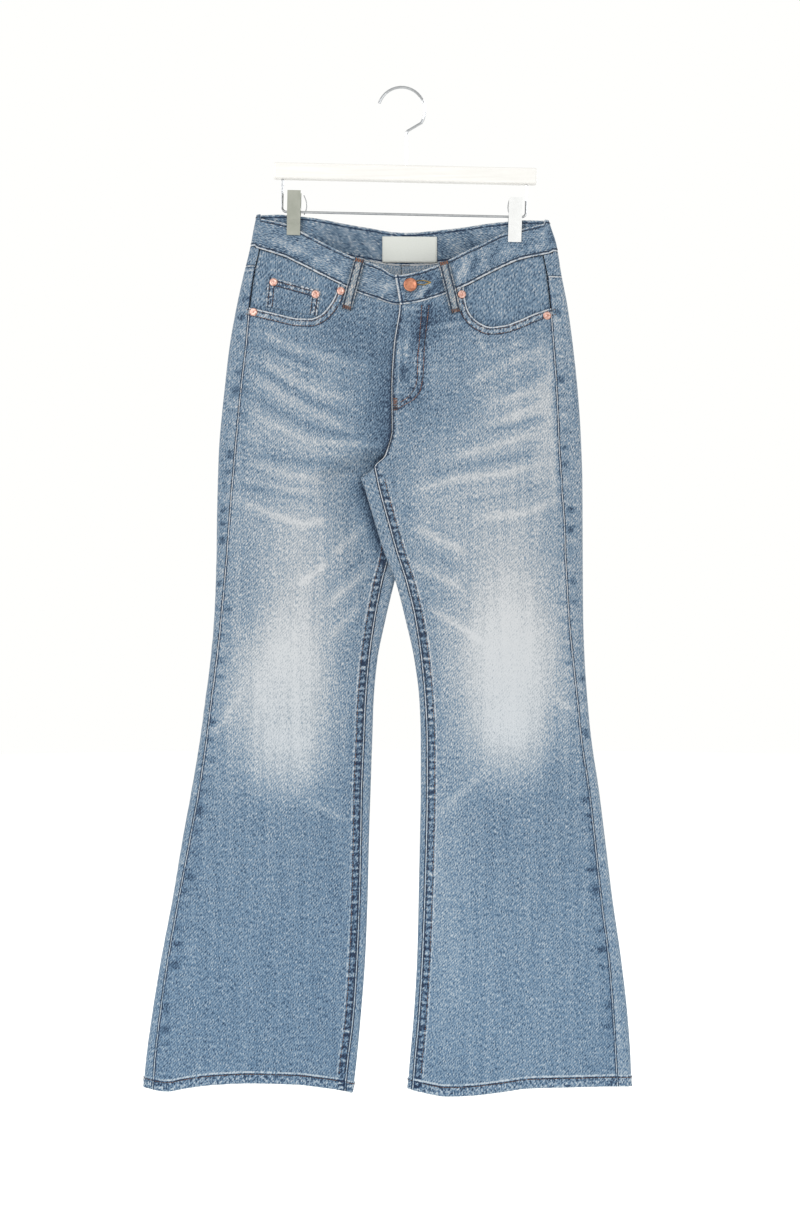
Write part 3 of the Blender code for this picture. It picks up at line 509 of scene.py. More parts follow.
print("a finish can add:", ", ".join(name for name in vars(Finish) if not name.startswith("_")))

# %% [markdown]
# Denim is a twill: white weft under indigo warp. Washing takes the blue off where the cloth stood
# proud, so one number, the tone, runs from deep indigo in the creases to nearly white on the knees.
# The same tone is lowered by painted shade beside the flap, under the waistband and under the fly's lap.
# The fine parts are vertical slubs, a diagonal twill line and a mottle from the stone wash. Worn
# seam edges, and painted shadows beside raised seam edges, are lines at a known distance from the
# seam, which each sheet carries as an attribute.

# %% Denim
INDIGO = (
    (0.0, (0.013, 0.024, 0.050)),
    (0.22, (0.036, 0.064, 0.106)),
    (0.5, (0.110, 0.170, 0.240)),
    (0.62, (0.156, 0.216, 0.280)),
    (0.76, (0.246, 0.274, 0.302)),
    (1.0, (0.440, 0.452, 0.465)),
)
TWILL_SCALE = 165.0


def denim(name, tone=0.5, lines=(), mottle=0.15, twill=0.16, grain=1.0, tint=(1.0, 1.0, 1.0),
          fine=1.0):
    """lines: (attribute, from, to, soft, change of tone), sizes in mm from that seam."""
    cloth = Finish(name)
    weave = cloth.weave()
    lean = cloth.node("ShaderNodeVectorRotate", {"rotation_type": "Z_AXIS"},
                      {"Vector": weave, "Angle": math.radians(32.0)})
    slub = cloth.noise(weave, (950.0 * fine, 230.0 * fine, 1.0), 2.0, 0.6, "2D")
    speck = cloth.noise(lean, (950.0 * fine, 300.0 * fine, 1.0), 2.0, 0.55, "2D")
    bars = cloth.noise(weave, (130.0, 7.0, 1.0), 2.0, 0.5, "2D")
    marks = cloth.between(cloth.noise(weave, (340.0, 270.0, 1.0), 1.0, 0.5, "2D"), 0.36, 0.64)
    wash = cloth.noise(weave, (62.0, 48.0, 1.0), 3.0, 0.6, "2D")
    ribs = cloth.node("ShaderNodeTexWave", {"bands_direction": "DIAGONAL"},
                      {"Vector": cloth.scaled(weave, (-1.0, 1.0, 1.0)), "Scale": TWILL_SCALE * fine,
                       "Distortion": 2.5, "Detail": 1.0, "Detail Scale": 3.0})
    pale = cloth.mask("pale")
    crisp = (1.25 - cloth.between(pale, 0.25, 1.0) * 0.6) * grain
    level = tone + ((slub - 0.5) * 1.1 + (speck - 0.5) * 0.7) * crisp + (bars - 0.5) * 0.2
    level = level + (marks - 0.5) * cloth.mask("knots") * 0.7
    level = level + (wash - 0.5) * mottle + (ribs - 0.5) * (twill * crisp)
    level = level + pale * 0.5 - cloth.mask("deep") * 0.42
    line_patchiness = cloth.between(cloth.noise(weave, (170.0, 120.0, 1.0), 2.0, 0.6, "2D"), 0.34, 0.62)
    for attribute, start, stop, soft, change in lines:
        line = cloth.band(cloth.mask(attribute), start, stop, soft)
        level = level + line * (0.5 + line_patchiness * 0.8) * change
    colour = cloth.coloured(level, *INDIGO)
    height = cloth.node("ShaderNodeSeparateXYZ", None, {"Vector": cloth.place()}, output=2)
    cool = cloth.between(height * -1.0, 0.55, 1.15)
    cast = cloth.blend((*tint, 1.0), (0.91, 1.01, 1.09, 1.0), cool)
    colour = cloth.node("ShaderNodeVectorMath", {"operation": "MULTIPLY"}, {0: colour, 1: cast})
    cloth.surface(Base_Color=colour, Roughness=0.88,
                  Normal=cloth.bump(slub + speck * 0.6 + ribs * 0.6, 0.4, 0.0005))
    cloth.surface(**{"Sheen Weight": 0.12, "Sheen Roughness": 0.5, "Specular IOR Level": 0.2})
    return cloth.material


DENIM_IN = denim("denim_inside", tone=0.66, mottle=0.08, twill=0.12)
print("denim tones:", len(INDIGO))

# %% [markdown]
# One class makes every piece of cloth. It starts from a bmesh grid, moves each grid point to its
# station, works out how far seams and creases lift it, and keeps masks for the wear and the painted
# shade. A Solidify modifier then gives the sheet its thickness inwards.

# %% A sheet of cloth
def linked(name, data, *finishes):
    """A smooth object for a mesh, with its finishes, in the scene."""
    data.shade_smooth()
    for finish in finishes:
        data.materials.append(finish)
    piece = bpy.data.objects.new(name, data)
    bpy.context.scene.collection.objects.link(piece)
    return piece


class Sheet:
    """Points of one piece of cloth and the directions out of it, in rows from top to bottom."""

    def __init__(self, columns, rows, spot):
        self.columns = columns
        self.rows = rows
        self.point = np.full((rows, columns, 3), np.nan)
        self.out = np.zeros((rows, columns, 3))
        for j in range(rows):
            for i in range(columns):
                found = spot(i, j)
                if found is not None:
                    self.point[j, i] = found[0]
                    self.out[j, i] = found[1]
        self.x = self.point[:, :, 0]
        self.z = self.point[:, :, 2]
        self.height = np.zeros((rows, columns))
        self.masks = {}

    def along(self):
        """Length of the cloth along each row."""
        steps = np.nan_to_num(np.linalg.norm(np.diff(self.point, axis=1), axis=2))
        return np.concatenate([np.zeros((self.rows, 1)), np.cumsum(steps, axis=1)], axis=1)

    def share_across(self):
        """0 in the first column to 1 in the last, at every point."""
        return np.linspace(0.0, 1.0, self.columns)[None, :] * np.ones((self.rows, 1))

    def share_down(self):
        """0 in the first row to 1 in the last, at every point."""
        return np.linspace(0.0, 1.0, self.rows)[:, None] * np.ones((1, self.columns))

    def build(self, name, thickness, finish, grain=None, slot="denim", inside=None):
        mesh = bmesh.new()
        bmesh.ops.create_grid(mesh, x_segments=self.columns - 1, y_segments=self.rows - 1, size=1.0)
        number = mesh.verts.layers.int.new("number")
        moved = (self.point + self.out * self.height[:, :, None]) * MM
        for vertex in mesh.verts:
            i = round((vertex.co.x + 1.0) * 0.5 * (self.columns - 1))
            j = round((1.0 - vertex.co.y) * 0.5 * (self.rows - 1))
            vertex[number] = j * self.columns + i
            vertex.co = moved[j, i]
        lost = [vertex for vertex in mesh.verts if math.isnan(vertex.co.x)]
        bmesh.ops.delete(mesh, geom=lost, context="VERTS")
        mesh.normal_update()
        ways = self.out.reshape(-1, 3)
        facing = sum(face.normal.dot(Vector(ways[face.verts[0][number]])) for face in mesh.faces)
        if facing < 0.0:
            bmesh.ops.reverse_faces(mesh, faces=mesh.faces)
        data = bpy.data.meshes.new(name)
        mesh.to_mesh(data)
        mesh.free()
        order = np.zeros(len(data.vertices), dtype=np.int32)
        data.attributes["number"].data.foreach_get("value", order)
        data.attributes.remove(data.attributes["number"])
        for mask, values in self.masks.items():
            layer = data.attributes.new(mask, "FLOAT", "POINT")
            layer.data.foreach_set("value", values.reshape(-1)[order].astype(np.float32))
        grain = np.stack([self.x, self.z], axis=2) if grain is None else grain
        corners = np.zeros(len(data.loops), dtype=np.int32)
        data.loops.foreach_get("vertex_index", corners)
        places = (grain.reshape(-1, 2) * MM)[order][corners]
        data.uv_layers.new(name="cloth").data.foreach_set("uv", places.astype(np.float32).reshape(-1))
        piece = linked(name, data, finish, inside or finish)
        wall = piece.modifiers.new("Cloth thickness", "SOLIDIFY")
        wall.thickness = thickness * MM
        wall.offset = -1.0
        wall.material_offset = 1
        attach(piece, "root")
        return piece


pieces = {}


def dress(name, sheet, thickness, finish, **options):
    """Builds a sheet in the place of the solid with that name."""
    pieces[name] = sheet.build(name + "_cloth", thickness, finish, **options)
    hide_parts(name)
    print(name, sheet.columns, "by", sheet.rows)


print("a sheet can:", ", ".join(name for name in vars(Sheet) if not name.startswith("_")))

# %% [markdown]
# Wear and painted shade are placed one by one. A fade is a soft oval, and a crease is a short line whose
# mark fades towards both its ends. Both are read at every point of a sheet at once.

# %% Places of the wear and the painted shade
FADES = (
    # side, x, z, half width, half height, squareness, amount
    (RIGHT, -122, -478, 78, 112, 1.0, 0.34),
    (RIGHT, -120, -565, 60, 80, 1.0, 0.34),
    (RIGHT, -128, -645, 54, 72, 1.0, 0.32),
    (RIGHT, -136, -732, 59, 100, 1.4, 0.84),
    (RIGHT, -136, -815, 50, 46, 2.0, 0.26),
    (RIGHT, -190, -745, 28, 80, 1.2, 0.24),
    (RIGHT, -118, -350, 84, 50, 1.0, 0.14),
    (LEFT, 118, -490, 86, 120, 1.0, 0.44),
    (LEFT, 128, -600, 70, 86, 1.0, 0.36),
    (LEFT, 130, -712, 64, 104, 1.4, 1.02),
    (LEFT, 126, -792, 54, 48, 2.0, 0.24),
    (LEFT, 148, -376, 60, 56, 1.0, 0.26),
    (LEFT, 48, -860, 34, 260, 1.4, 0.22),
    (LEFT, 30, -520, 40, 90, 1.0, 0.14),
    (LEFT, 130, -1080, 130, 150, 1.4, 0.12),
    (RIGHT, -214, -620, 22, 260, 1.4, 0.16),
    (LEFT, 208, -620, 18, 260, 1.4, 0.16),
)
DEEPS = (
    # The third row is painted shade beside the flap's edge; the fourth and fifth are painted shade just
    # below the waistband, by the fly and the left front belt loop.
    (RIGHT, -22, -400, 28, 78, 1.0, 0.52),
    (RIGHT, -58, -300, 52, 34, 1.0, 0.34),
    (RIGHT, -64, -498, 22, 34, 1.0, 0.24),
    (LEFT, 38, -285, 12, 24, 1.0, 0.50),
    (LEFT, 56, -282, 30, 18, 1.0, 0.34),
    (LEFT, 50, -392, 40, 30, 1.0, 0.18),
    (LEFT, 2, -343, 4, 10, 1.0, 0.70),
    (LEFT, 1, -281, 6, 7, 1.0, 0.55),
    (LEFT, 12, -330, 16, 56, 1.0, 0.20),
    (LEFT, -1, -298, 5, 6, 1.0, 0.55),
)
STREAKS = (
    # side, width, amount (below nought is darker), points
    # The first two rows are painted shadow along the flap's edge, and the third is painted shadow beside the
    # right front's seam under the left half's lap.
    (RIGHT, 12.0, -0.75, ((-50, -466), (-45, -484), (-38, -500), (-30, -528), (-18, -566),
                          (-16, -580))),
    (RIGHT, 4.5, -0.80, ((-48, -466), (-43, -484), (-36, -500), (-28, -528), (-16, -566))),
    (RIGHT, 3.0, -0.40, ((-6, -300), (-12, -350), (-12, -412), (-22, -444), (-40, -462))),
    (LEFT, 3.0, -0.9, ((20, -268), (14.6, -303), (12, -325), (9.7, -374))),
    (LEFT, 4.5, -0.5, ((30, -266), (24, -300), (22, -322))),
    (LEFT, 2.6, 0.5, ((7.2, -303), (4.8, -337))),
    (LEFT, 2.0, 0.5, ((17, -318), (15, -366))),
    (LEFT, 1.4, 0.5, ((-2.5, -309), (-4.3, -370))),
    (LEFT, 2.2, -0.5, ((-4.5, -330), (-6.8, -366))),
    (LEFT, 2.0, 0.45, ((22.6, -300), (22.0, -352))),
    (LEFT, 3.0, 0.5, ((28, -293), (50, -289), (72, -286))),
    (LEFT, 1.6, 0.4, ((9, -270), (17, -268))),
    (LEFT, 3.0, 0.30, ((88, -300), (104, -322), (150, -306))),
    (LEFT, 10.0, 0.24, ((166, -298), (168, -340), (170, -400), (170, -500))),
    (LEFT, 2.5, 0.35, ((176, -300), (180, -400), (184, -520))),
    (LEFT, 4.0, -0.30, ((120, -372), (160, -346), (178, -338))),
    (LEFT, 4.0, -0.30, ((96, -420), (150, -404), (180, -396))),
    (LEFT, 4.5, -0.30, ((30, -468), (90, -456), (160, -440))),
    (LEFT, 4.5, -0.24, ((60, -500), (120, -492), (180, -478))),
    (LEFT, 4.0, -0.24, ((20, -552), (70, -584))),
    (LEFT, 2.5, 0.22, ((60, -420), (110, -404), (170, -380))),
    (LEFT, 2.5, 0.22, ((30, -500), (90, -492), (150, -484))),
    (RIGHT, 4.5, -0.34, ((-182, -306), (-150, -320), (-100, -338))),
    (RIGHT, 4.5, -0.34, ((-180, -334), (-140, -360), (-100, -384), (-60, -396))),
    (RIGHT, 4.5, -0.34, ((-186, -364), (-150, -390), (-104, -412), (-50, -424))),
    (RIGHT, 5.0, -0.38, ((-170, -442), (-120, -452), (-60, -456))),
    (RIGHT, 4.5, -0.26, ((-196, -478), (-150, -490), (-100, -500))),
    (RIGHT, 4.0, -0.24, ((-40, -560), (-90, -604))),
    (RIGHT, 2.5, 0.24, ((-178, -306), (-140, -330), (-100, -348))),
    (RIGHT, 2.5, 0.24, ((-190, -398), (-150, -424), (-100, -440), (-60, -446))),
    (RIGHT, 2.5, 0.22, ((-196, -470), (-140, -484), (-90, -490))),
)
WHISKERS = (
    # side, width, amount, points
    (RIGHT, 4.8, 0.34, ((-175, -293), (-118, -319), (-49, -338))),
    (RIGHT, 4.8, 0.36, ((-175, -324), (-136, -350), (-95, -370), (-52, -379))),
    (RIGHT, 4.8, 0.36, ((-184, -343), (-143, -373), (-101, -395), (-57, -416))),
    (RIGHT, 4.8, 0.40, ((-191, -384), (-158, -406), (-109, -428), (-22, -432))),
    (RIGHT, 4.6, 0.30, ((-191, -410), (-165, -433))),
    (RIGHT, 4.8, 0.34, ((-184, -450), (-136, -467), (-92, -474))),
    (RIGHT, 4.6, 0.44, ((-203, -496), (-163, -511), (-118, -527), (-83, -520))),
    (RIGHT, 4.6, 0.40, ((-43, -526), (-83, -564))),
    (RIGHT, 4.6, 0.36, ((-85, -569), (-123, -600))),
    (RIGHT, 4.6, 0.44, ((-38, -580), (-92, -625))),
    (RIGHT, 4.6, 0.36, ((-49, -622), (-86, -662))),
    (RIGHT, 4.6, 0.30, ((-236, -791), (-188, -725))),
    (RIGHT, 5, 0.34, ((-110, -857), (-64, -883))),
    (LEFT, 5.2, 0.34, ((76, -360), (133, -331), (178, -312))),
    (LEFT, 4.8, 0.36, ((105, -383), (166, -364))),
    (LEFT, 4.8, 0.34, ((115, -406), (167, -388))),
    (LEFT, 4.8, 0.36, ((49, -448), (98, -437), (173, -414))),
    (LEFT, 5.2, 0.38, ((9, -488), (62, -473), (124, -466), (177, -450))),
    (LEFT, 4.6, 0.38, ((88, -520), (151, -512), (190, -496))),
    (LEFT, 4.6, 0.20, ((167, -354), (167, -398))),
    (LEFT, 4.6, 0.40, ((9, -527), (80, -562))),
    (LEFT, 4.6, 0.38, ((9, -572), (75, -604))),
    (LEFT, 4.6, 0.42, ((32, -624), (101, -670))),
    (LEFT, 4.6, 0.30, ((182, -731), (209, -752))),
    (LEFT, 4.6, 0.36, ((41, -876), (80, -840), (99, -821))),
)
FLY_OUTER = ((33, -264), (28, -307), (26.9, -325), (25.7, -352), (22, -368), (14.6, -377), (3.6, -383),
             (-5, -388))
FLY_INNER = ((24.4, -264), (21.4, -307), (19.5, -325), (18.9, -352), (16.5, -362), (9.7, -373),
             (-1.3, -380))
print("ovals:", len(FADES) + len(DEEPS), "creases:", len(STREAKS) + len(WHISKERS))

# %% [markdown]
# An oval fades outwards like a bell, and a squareness above 1 gives it a flat middle. Puckers are
# uneven waves along a seam: their length and their size both drift, so no two are alike.

# %% Ovals, creases and puckers
def ovals(rows, side, x, z):
    total = np.zeros_like(x)
    for row_side, centre_x, centre_z, wide, high, square, amount in rows:
        if row_side == side:
            far = ((x - centre_x) / wide) ** 2 + ((z - centre_z) / high) ** 2
            total += amount * np.exp(-far ** square)
    return total


def to_line(points, x, z):
    """Distance to a line through points, and how far along it the nearest place is, 0 to 1."""
    lengths = [math.dist(a, b) for a, b in zip(points, points[1:])]
    best = np.full_like(x, 1e9)
    share = np.zeros_like(x)
    gone = 0.0
    for (ax, az), (bx, bz), length in zip(points, points[1:], lengths):
        t = np.clip(((x - ax) * (bx - ax) + (z - az) * (bz - az)) / length ** 2, 0.0, 1.0)
        far = np.hypot(x - (ax + t * (bx - ax)), z - (az + t * (bz - az)))
        nearer = far < best
        best = np.where(nearer, far, best)
        share = np.where(nearer, (gone + t * length) / sum(lengths), share)
        gone += length
    return best, share


def creases(rows, side, x, z):
    total = np.zeros_like(x)
    for row_side, wide, amount, points in rows:
        if row_side == side:
            far, share = to_line(points, x, z)
            ends = np.clip(np.minimum(share, 1.0 - share) * 5.0 + 0.15, 0.0, 1.0)
            total += amount * ends * np.exp(-(far / wide) ** 2)
    return total


def pucker(run, period, seed):
    """Uneven waves along a seam, between -1 and 1."""
    drift = np.sin(run / period * 0.9 + seed) + 0.7 * np.sin(run / period * 2.3 + seed * 2.0)
    size = 0.65 + 0.35 * np.sin(run / period * 1.7 + seed * 3.0)
    return size * np.cos(2.0 * math.pi * run / period + 1.1 * drift)


def rise_to(value, start, stop):
    t = np.clip((value - start) / (stop - start), 0.0, 1.0)
    return t * t * (3.0 - 2.0 * t)


print("fade at the left knee:", round(float(ovals(FADES, LEFT, 130.0, -712.0)), 2))

# %% [markdown]
# The front panels carry most of what is seen. Their columns crowd together at both seams, and their
# rows start on the curved pocket mouth.

# %% Rows and columns of a front panel
EDGE_STEPS = (0.0, 0.9, 1.8, 3.2, 5.0, 7.2, 10.0)
FELL_STEPS = (19.0, 15.5, 13.0, 11.6, 10.8, 9.6, 8.0, 6.2, 4.4, 2.8, 1.6, 0.8, 0.0)
MIDDLE_SHARES = tuple(np.linspace(0.085, 0.50, 25)) + tuple(np.linspace(0.508, 0.61, 16)) + tuple(
    np.linspace(0.628, 0.865, 15))
UPPER_LEVEL = -312.0
ROW_STEP = 2.6


def leg_levels(first):
    """Levels down a leg, even, and closer at the hem."""
    fold = HEM_LEVEL + HEM_HEIGHT
    count = round((first - fold) / ROW_STEP)
    levels = list(np.linspace(first, fold + 0.8, count)) + [fold]
    return levels + list(np.linspace(fold - 1.6, HEM_LEVEL, 6))


def front_shares(side, z):
    width = abs(half(side, "seam", z) - half(side, "outseam", z)) - 2.0 * EDGE
    return [s / width for s in EDGE_STEPS] + list(MIDDLE_SHARES) + [1.0 - s / width for s in FELL_STEPS]


def front_top(side, column):
    z = -262.0
    for _ in range(6):
        x = station(side, "front", front_shares(side, z)[column], z)[0].x
        mouth = SCOOPS[side].knots
        if mouth[0] <= x <= mouth[-1]:
            z = SCOOPS[side].read("z", x)
        else:
            z = FRONT_BAND.read("bottom", x) - GAP
    return z


def mouth_line(side):
    knots = SCOOPS[side].knots
    return [(x, SCOOPS[side].read("z", x)) for x in np.linspace(knots[0], knots[-1], 60)]


print("columns:", len(front_shares(LEFT, HEM_LEVEL)), "levels:", len(leg_levels(UPPER_LEVEL)))

# %% [markdown]
# Height and wear come from the same puckers, so that cloth that stands proud at a seam is also
# paler, as it is on worn jeans. Every mark knows its distance from the seam that it belongs to.

# %% Height and wear of a front panel
def blots(side, z, on_panel):
    """Dark spots in a row beside the side seam, on the front panel or on the strip behind the seam."""
    share = 1.0 - rise_to(z, -640.0, -605.0)
    if side == LEFT:
        share = share * (1.0 - rise_to(-z, 688.0, 706.0) * (1.0 - rise_to(-z, 800.0, 830.0)))
    return rise_to(pucker(z, 23.0, 2.0 + side), 0.15, 0.85) * (share if on_panel else 1.0 - share)


def front_relief(side, x, z, to_seam, to_side, to_hem, to_mouth):
    """Height of a front panel over its plain form, and the wear and painted shade that go with it."""
    below = rise_to(-z, 462.0, 474.0)
    seam_band = 1.0 - rise_to(to_seam, FELL_WIDTH - 0.6, FELL_WIDTH + 0.5)
    wave = pucker(z, 8.6, 1.0 + side)
    knot_wave = 0.5 * pucker(z, 4.3, 2.0 + side) + 0.5 * wave
    rows = np.exp(-((to_seam - 3.2) / 1.5) ** 2) + np.exp(-((to_seam - 8.6) / 1.6) ** 2)
    inner = seam_band * rise_to(to_seam, 0.8, 2.6) * below
    height = seam_band * FELL_RISE * np.maximum(below, 0.35) + 0.34 * wave * inner
    side_wave = pucker(z, 25.0, 4.0 + side)
    near_side = np.exp(-(to_side / 10.0) ** 2)
    height += 0.45 * side_wave * near_side
    fold = 1.0 - rise_to(to_hem, HEM_HEIGHT - 0.5, HEM_HEIGHT + 0.5)
    rope = pucker(x + 0.7 * z, 7.6, 2.0 + side)
    height += fold * (HEM_RISE + 0.4 * rope * rise_to(to_hem, 0.5, 4.0))
    mouth_band = 1.0 - rise_to(to_mouth, 7.5, 9.5)
    mouth_wave = pucker(x, 5.4, 3.0)
    mouth_rows = np.exp(-((to_mouth - 3.0) / 1.3) ** 2) + np.exp(-((to_mouth - 8.2) / 1.4) ** 2)
    height += mouth_band * (0.25 + 0.28 * mouth_wave * rise_to(to_mouth, 0.5, 2.5))
    whisker = creases(WHISKERS, side, x, z)
    streak = creases(STREAKS, side, x, z)
    height += 0.9 * whisker + 0.35 * streak
    pale = ovals(FADES, side, x, z) + 0.9 * whisker + np.maximum(streak, 0.0)
    pale += inner * (0.75 * np.maximum(wave, 0.0) + 0.3 * np.maximum(knot_wave, 0.0))
    pale += mouth_band * (0.12 + 0.6 * np.maximum(mouth_wave, 0.0)) + 0.45 * fold * np.maximum(rope, 0.0)
    deep = ovals(DEEPS, side, x, z) + np.maximum(-streak, 0.0)
    deep += inner * (0.36 + 0.8 * np.maximum(-wave, 0.0)
                     + rows * (0.30 + 0.9 * np.maximum(-knot_wave, 0.0)))
    deep += mouth_rows * (0.25 + 1.0 * np.maximum(-mouth_wave, 0.0))
    deep += 0.3 * near_side * np.maximum(-side_wave, 0.0)
    deep += 0.8 * np.exp(-((to_side - 7.0 - 1.5 * np.sin(z / 17.0)) / 4.4) ** 2) * blots(side, z, True)
    under_stitch = np.exp(-((to_hem - 9.0) / 2.6) ** 2)
    deep += fold * (0.10 + 0.8 * np.maximum(-rope, 0.0)) * (0.25 + 0.9 * under_stitch)
    if side == LEFT:
        fly_wave = pucker(z, 6.0, 4.0)
        above = 1.0 - below
        for line, amount in ((FLY_OUTER, 1.0), (FLY_INNER, 0.7)):
            far = to_line(line, x, z)[0]
            deep += above * amount * np.exp(-(far / 2.0) ** 2) * (0.75 + 1.1 * np.maximum(-fly_wave, 0.0))
            pale += above * amount * 0.5 * np.exp(-((far - 2.6) / 1.3) ** 2) * np.maximum(fly_wave, 0.0)
        deep += above * np.exp(-((to_seam - 3.4) / 1.6) ** 2) * (0.35 + 1.1 * np.maximum(-fly_wave, 0.0))
        pale += above * np.exp(-((to_seam - 6.5) / 2.2) ** 2) * 0.22
    # Above the crotch the right front tucks under the left half's lap: a painted shadow line along its seam.
    if side == RIGHT:
        deep += (1.0 - below) * np.exp(-to_seam / 5.0) * 0.5
    knots = 0.75 * inner * np.minimum(0.35 + rows, 1.0) + mouth_rows
    knots += 0.65 * fold * rise_to(to_hem, 0.3, 1.5)
    if side == LEFT:
        for line in (FLY_OUTER, FLY_INNER):
            knots += above * 0.8 * np.exp(-(to_line(line, x, z)[0] / 2.2) ** 2)
        knots += above * 0.6 * np.exp(-((to_seam - 3.4) / 2.0) ** 2)
    return height, pale, deep, np.minimum(knots, 1.0)


print("blots on the right side seam at the shin:",
      [round(float(blots(RIGHT, level, True)), 2) for level in (-900.0, -912.0, -924.0)])

# %% [markdown]
# Now both front panels are built. Each keeps its distances from its seams, its hem and its pocket
# mouth as masks, and the denim draws from them the worn edges and the painted shadow beside the raised seam
# edge.

# %% Front panels
def front_sheet(side):
    levels = leg_levels(UPPER_LEVEL)
    uppers = list(np.linspace(0.0, 1.0, 27)[:-1])
    columns = len(front_shares(side, HEM_LEVEL))
    tops = [front_top(side, i) for i in range(columns)]
    drops = [[hem_drop(side, "front", front_shares(side, HEM_LEVEL)[i], z) for i in range(columns)]
             for z in levels]

    def spot(i, j):
        if j < len(uppers):
            z = mix(tops[i], UPPER_LEVEL, uppers[j])
        else:
            z = levels[j - len(uppers)] + drops[j - len(uppers)][i]
        return station(side, "front", front_shares(side, z)[i], z)

    return Sheet(columns, len(uppers) + len(levels), spot)


LEG_LINES = (
    ("to_ridge", -1.0, 0.9, 0.5, 0.62),
    # On the left half the dark line just beside the raised inner seam edge is painted shadow of that edge.
    ("to_ridge", 1.8, 2.3, 0.7, -0.50),
    ("to_fly", -1.0, 1.6, 0.5, 0.35),
    ("to_fell", 11.2, 12.0, 0.7, 0.25),
    ("to_side", -1.0, 0.8, 0.5, 0.55),
    ("to_side", 1.7, 2.2, 0.7, -0.55),
    ("to_mouth", -1.0, 1.0, 0.5, 0.62),
    ("to_mouth", 2.2, 2.6, 0.7, -0.45),
    ("to_mouth", 9.0, 9.6, 0.8, -0.40),
    ("to_hem", -1.0, 0.6, 0.5, 0.3),
    ("to_hem", 10.8, 11.8, 0.7, -0.55),
    ("to_hem", 13.0, 14.2, 0.8, 0.42),
)
LEG_DENIM = denim("denim_legs", lines=LEG_LINES)


def to_edge(side, edge, sheet):
    """Distance from every point of a sheet to an edge of its half, across."""
    return np.abs(sheet.x - np.vectorize(lambda z: half(side, edge, z))(np.nan_to_num(sheet.z)))


def to_hem(side, sheet):
    """Height of every point of a sheet over its hem."""
    return sheet.z - np.vectorize(lambda x: HEMS[side].read("z", x))(np.nan_to_num(sheet.x))


for side, word in SIDES:
    sheet = front_sheet(side)
    sheet.masks["to_seam"] = to_edge(side, "seam", sheet)
    above = sheet.z > FOLD_LEVEL
    sheet.masks["to_ridge"] = np.where(above & (side == RIGHT), FAR, sheet.masks["to_seam"])
    sheet.masks["to_fell"] = np.where(above, FAR, sheet.masks["to_seam"])
    sheet.masks["to_fly"] = np.where(above & (side == LEFT), sheet.masks["to_seam"], FAR)
    sheet.masks["to_side"] = to_edge(side, "outseam", sheet)
    sheet.masks["to_hem"] = to_hem(side, sheet)
    sheet.masks["to_mouth"] = to_line(mouth_line(side), sheet.x, sheet.z)[0]
    sheet.height, sheet.masks["pale"], sheet.masks["deep"], sheet.masks["knots"] = front_relief(
        side, sheet.x, sheet.z, *(sheet.masks[m] for m in ("to_seam", "to_side", "to_hem", "to_mouth")))
    dress("front_panel_" + word, sheet, CLOTH, LEG_DENIM, inside=DENIM_IN)

# %% [markdown]
# A back panel starts at the side seam on the front, goes round the side fold and over the seat, and
# below the crotch on round the inner fold to the inner seam. Above the crotch it ends at the seat
# seam, so the points of the inner fold are left out there.

# %% Rows and columns of a back panel
BACK_STATIONS = (
    [("strip", t) for t in (0.0, 0.1, 0.2, 0.35, 0.5, 0.65, 0.8, 0.9)]
    + [("cap", t) for t in np.linspace(0.0, 0.875, 8)]
    + [("back", t) for t in np.linspace(0.0, 1.0, 49)]
    + [("turn", t) for t in (0.2, 0.4, 0.6, 0.8)]
    + [("flap", t) for t in (0.0, 0.2, 0.4, 0.6, 0.8, 0.9, 1.0)])
BACK_TOP_ROWS = 60
SEAT_LEVEL = -425.0


def back_sheet(side):
    levels = [z for z in leg_levels(SEAT_LEVEL) if abs(z - FOLD_LEVEL) > 1.0]
    levels = sorted(levels + [FOLD_LEVEL - 0.01], reverse=True)
    shares = list(np.linspace(0.0, 1.0, BACK_TOP_ROWS)[:-1])
    drops = [[hem_drop(side, kind, t, z) for kind, t in BACK_STATIONS] for z in levels]

    def spot(i, j):
        kind, t = BACK_STATIONS[i]
        inner = kind in ("turn", "flap")
        if j < len(shares):
            if inner:
                return None
            top = mix(YOKE_SIDE[side], YOKE_CENTRE, t if kind == "back" else 0.0) - 0.5 * GAP
            return station(side, kind, t, mix(top, SEAT_LEVEL, shares[j]))
        level = levels[j - len(shares)]
        if inner and level > FOLD_LEVEL:
            return None
        lift = CROTCH_LIFT * (1.0 - smooth((FOLD_LEVEL - level) / LIFT_FADE)) if side == LEFT else 0.0
        z = level + drops[j - len(shares)][i]
        return station(side, kind, t, z, z + lift)

    return Sheet(len(BACK_STATIONS), len(shares) + len(levels), spot)


print("stations round the back:", len(BACK_STATIONS))

# %% [markdown]
# The back is plainer. It is faded over the seat and a little behind the knees, it has the same dark
# spots beside the side seam as the front, and its masks follow the yoke, the seat seam and the hem.

# %% Back panels
BACK_LINES = (
    ("to_side", -1.0, 0.6, 0.5, -0.55),
    # The dark line on the flap at the inner seam is painted shadow of the front panel's raised seam edge.
    ("to_inseam", -1.0, 1.0, 0.6, -0.70),
    ("to_yoke", -1.0, 1.3, 0.6, 0.45),
    ("to_yoke", 2.4, 2.8, 0.8, -0.35),
    ("to_seat", -1.0, 1.3, 0.6, 0.45),
    ("to_seat", 2.4, 2.8, 0.8, -0.35),
    ("to_hem", -1.0, 0.6, 0.5, 0.3),
    ("to_hem", 10.6, 11.4, 0.7, -0.40),
    ("to_hem", 12.9, 13.7, 0.8, 0.30),
)
BACK_DENIM = denim("denim_backs", lines=BACK_LINES)


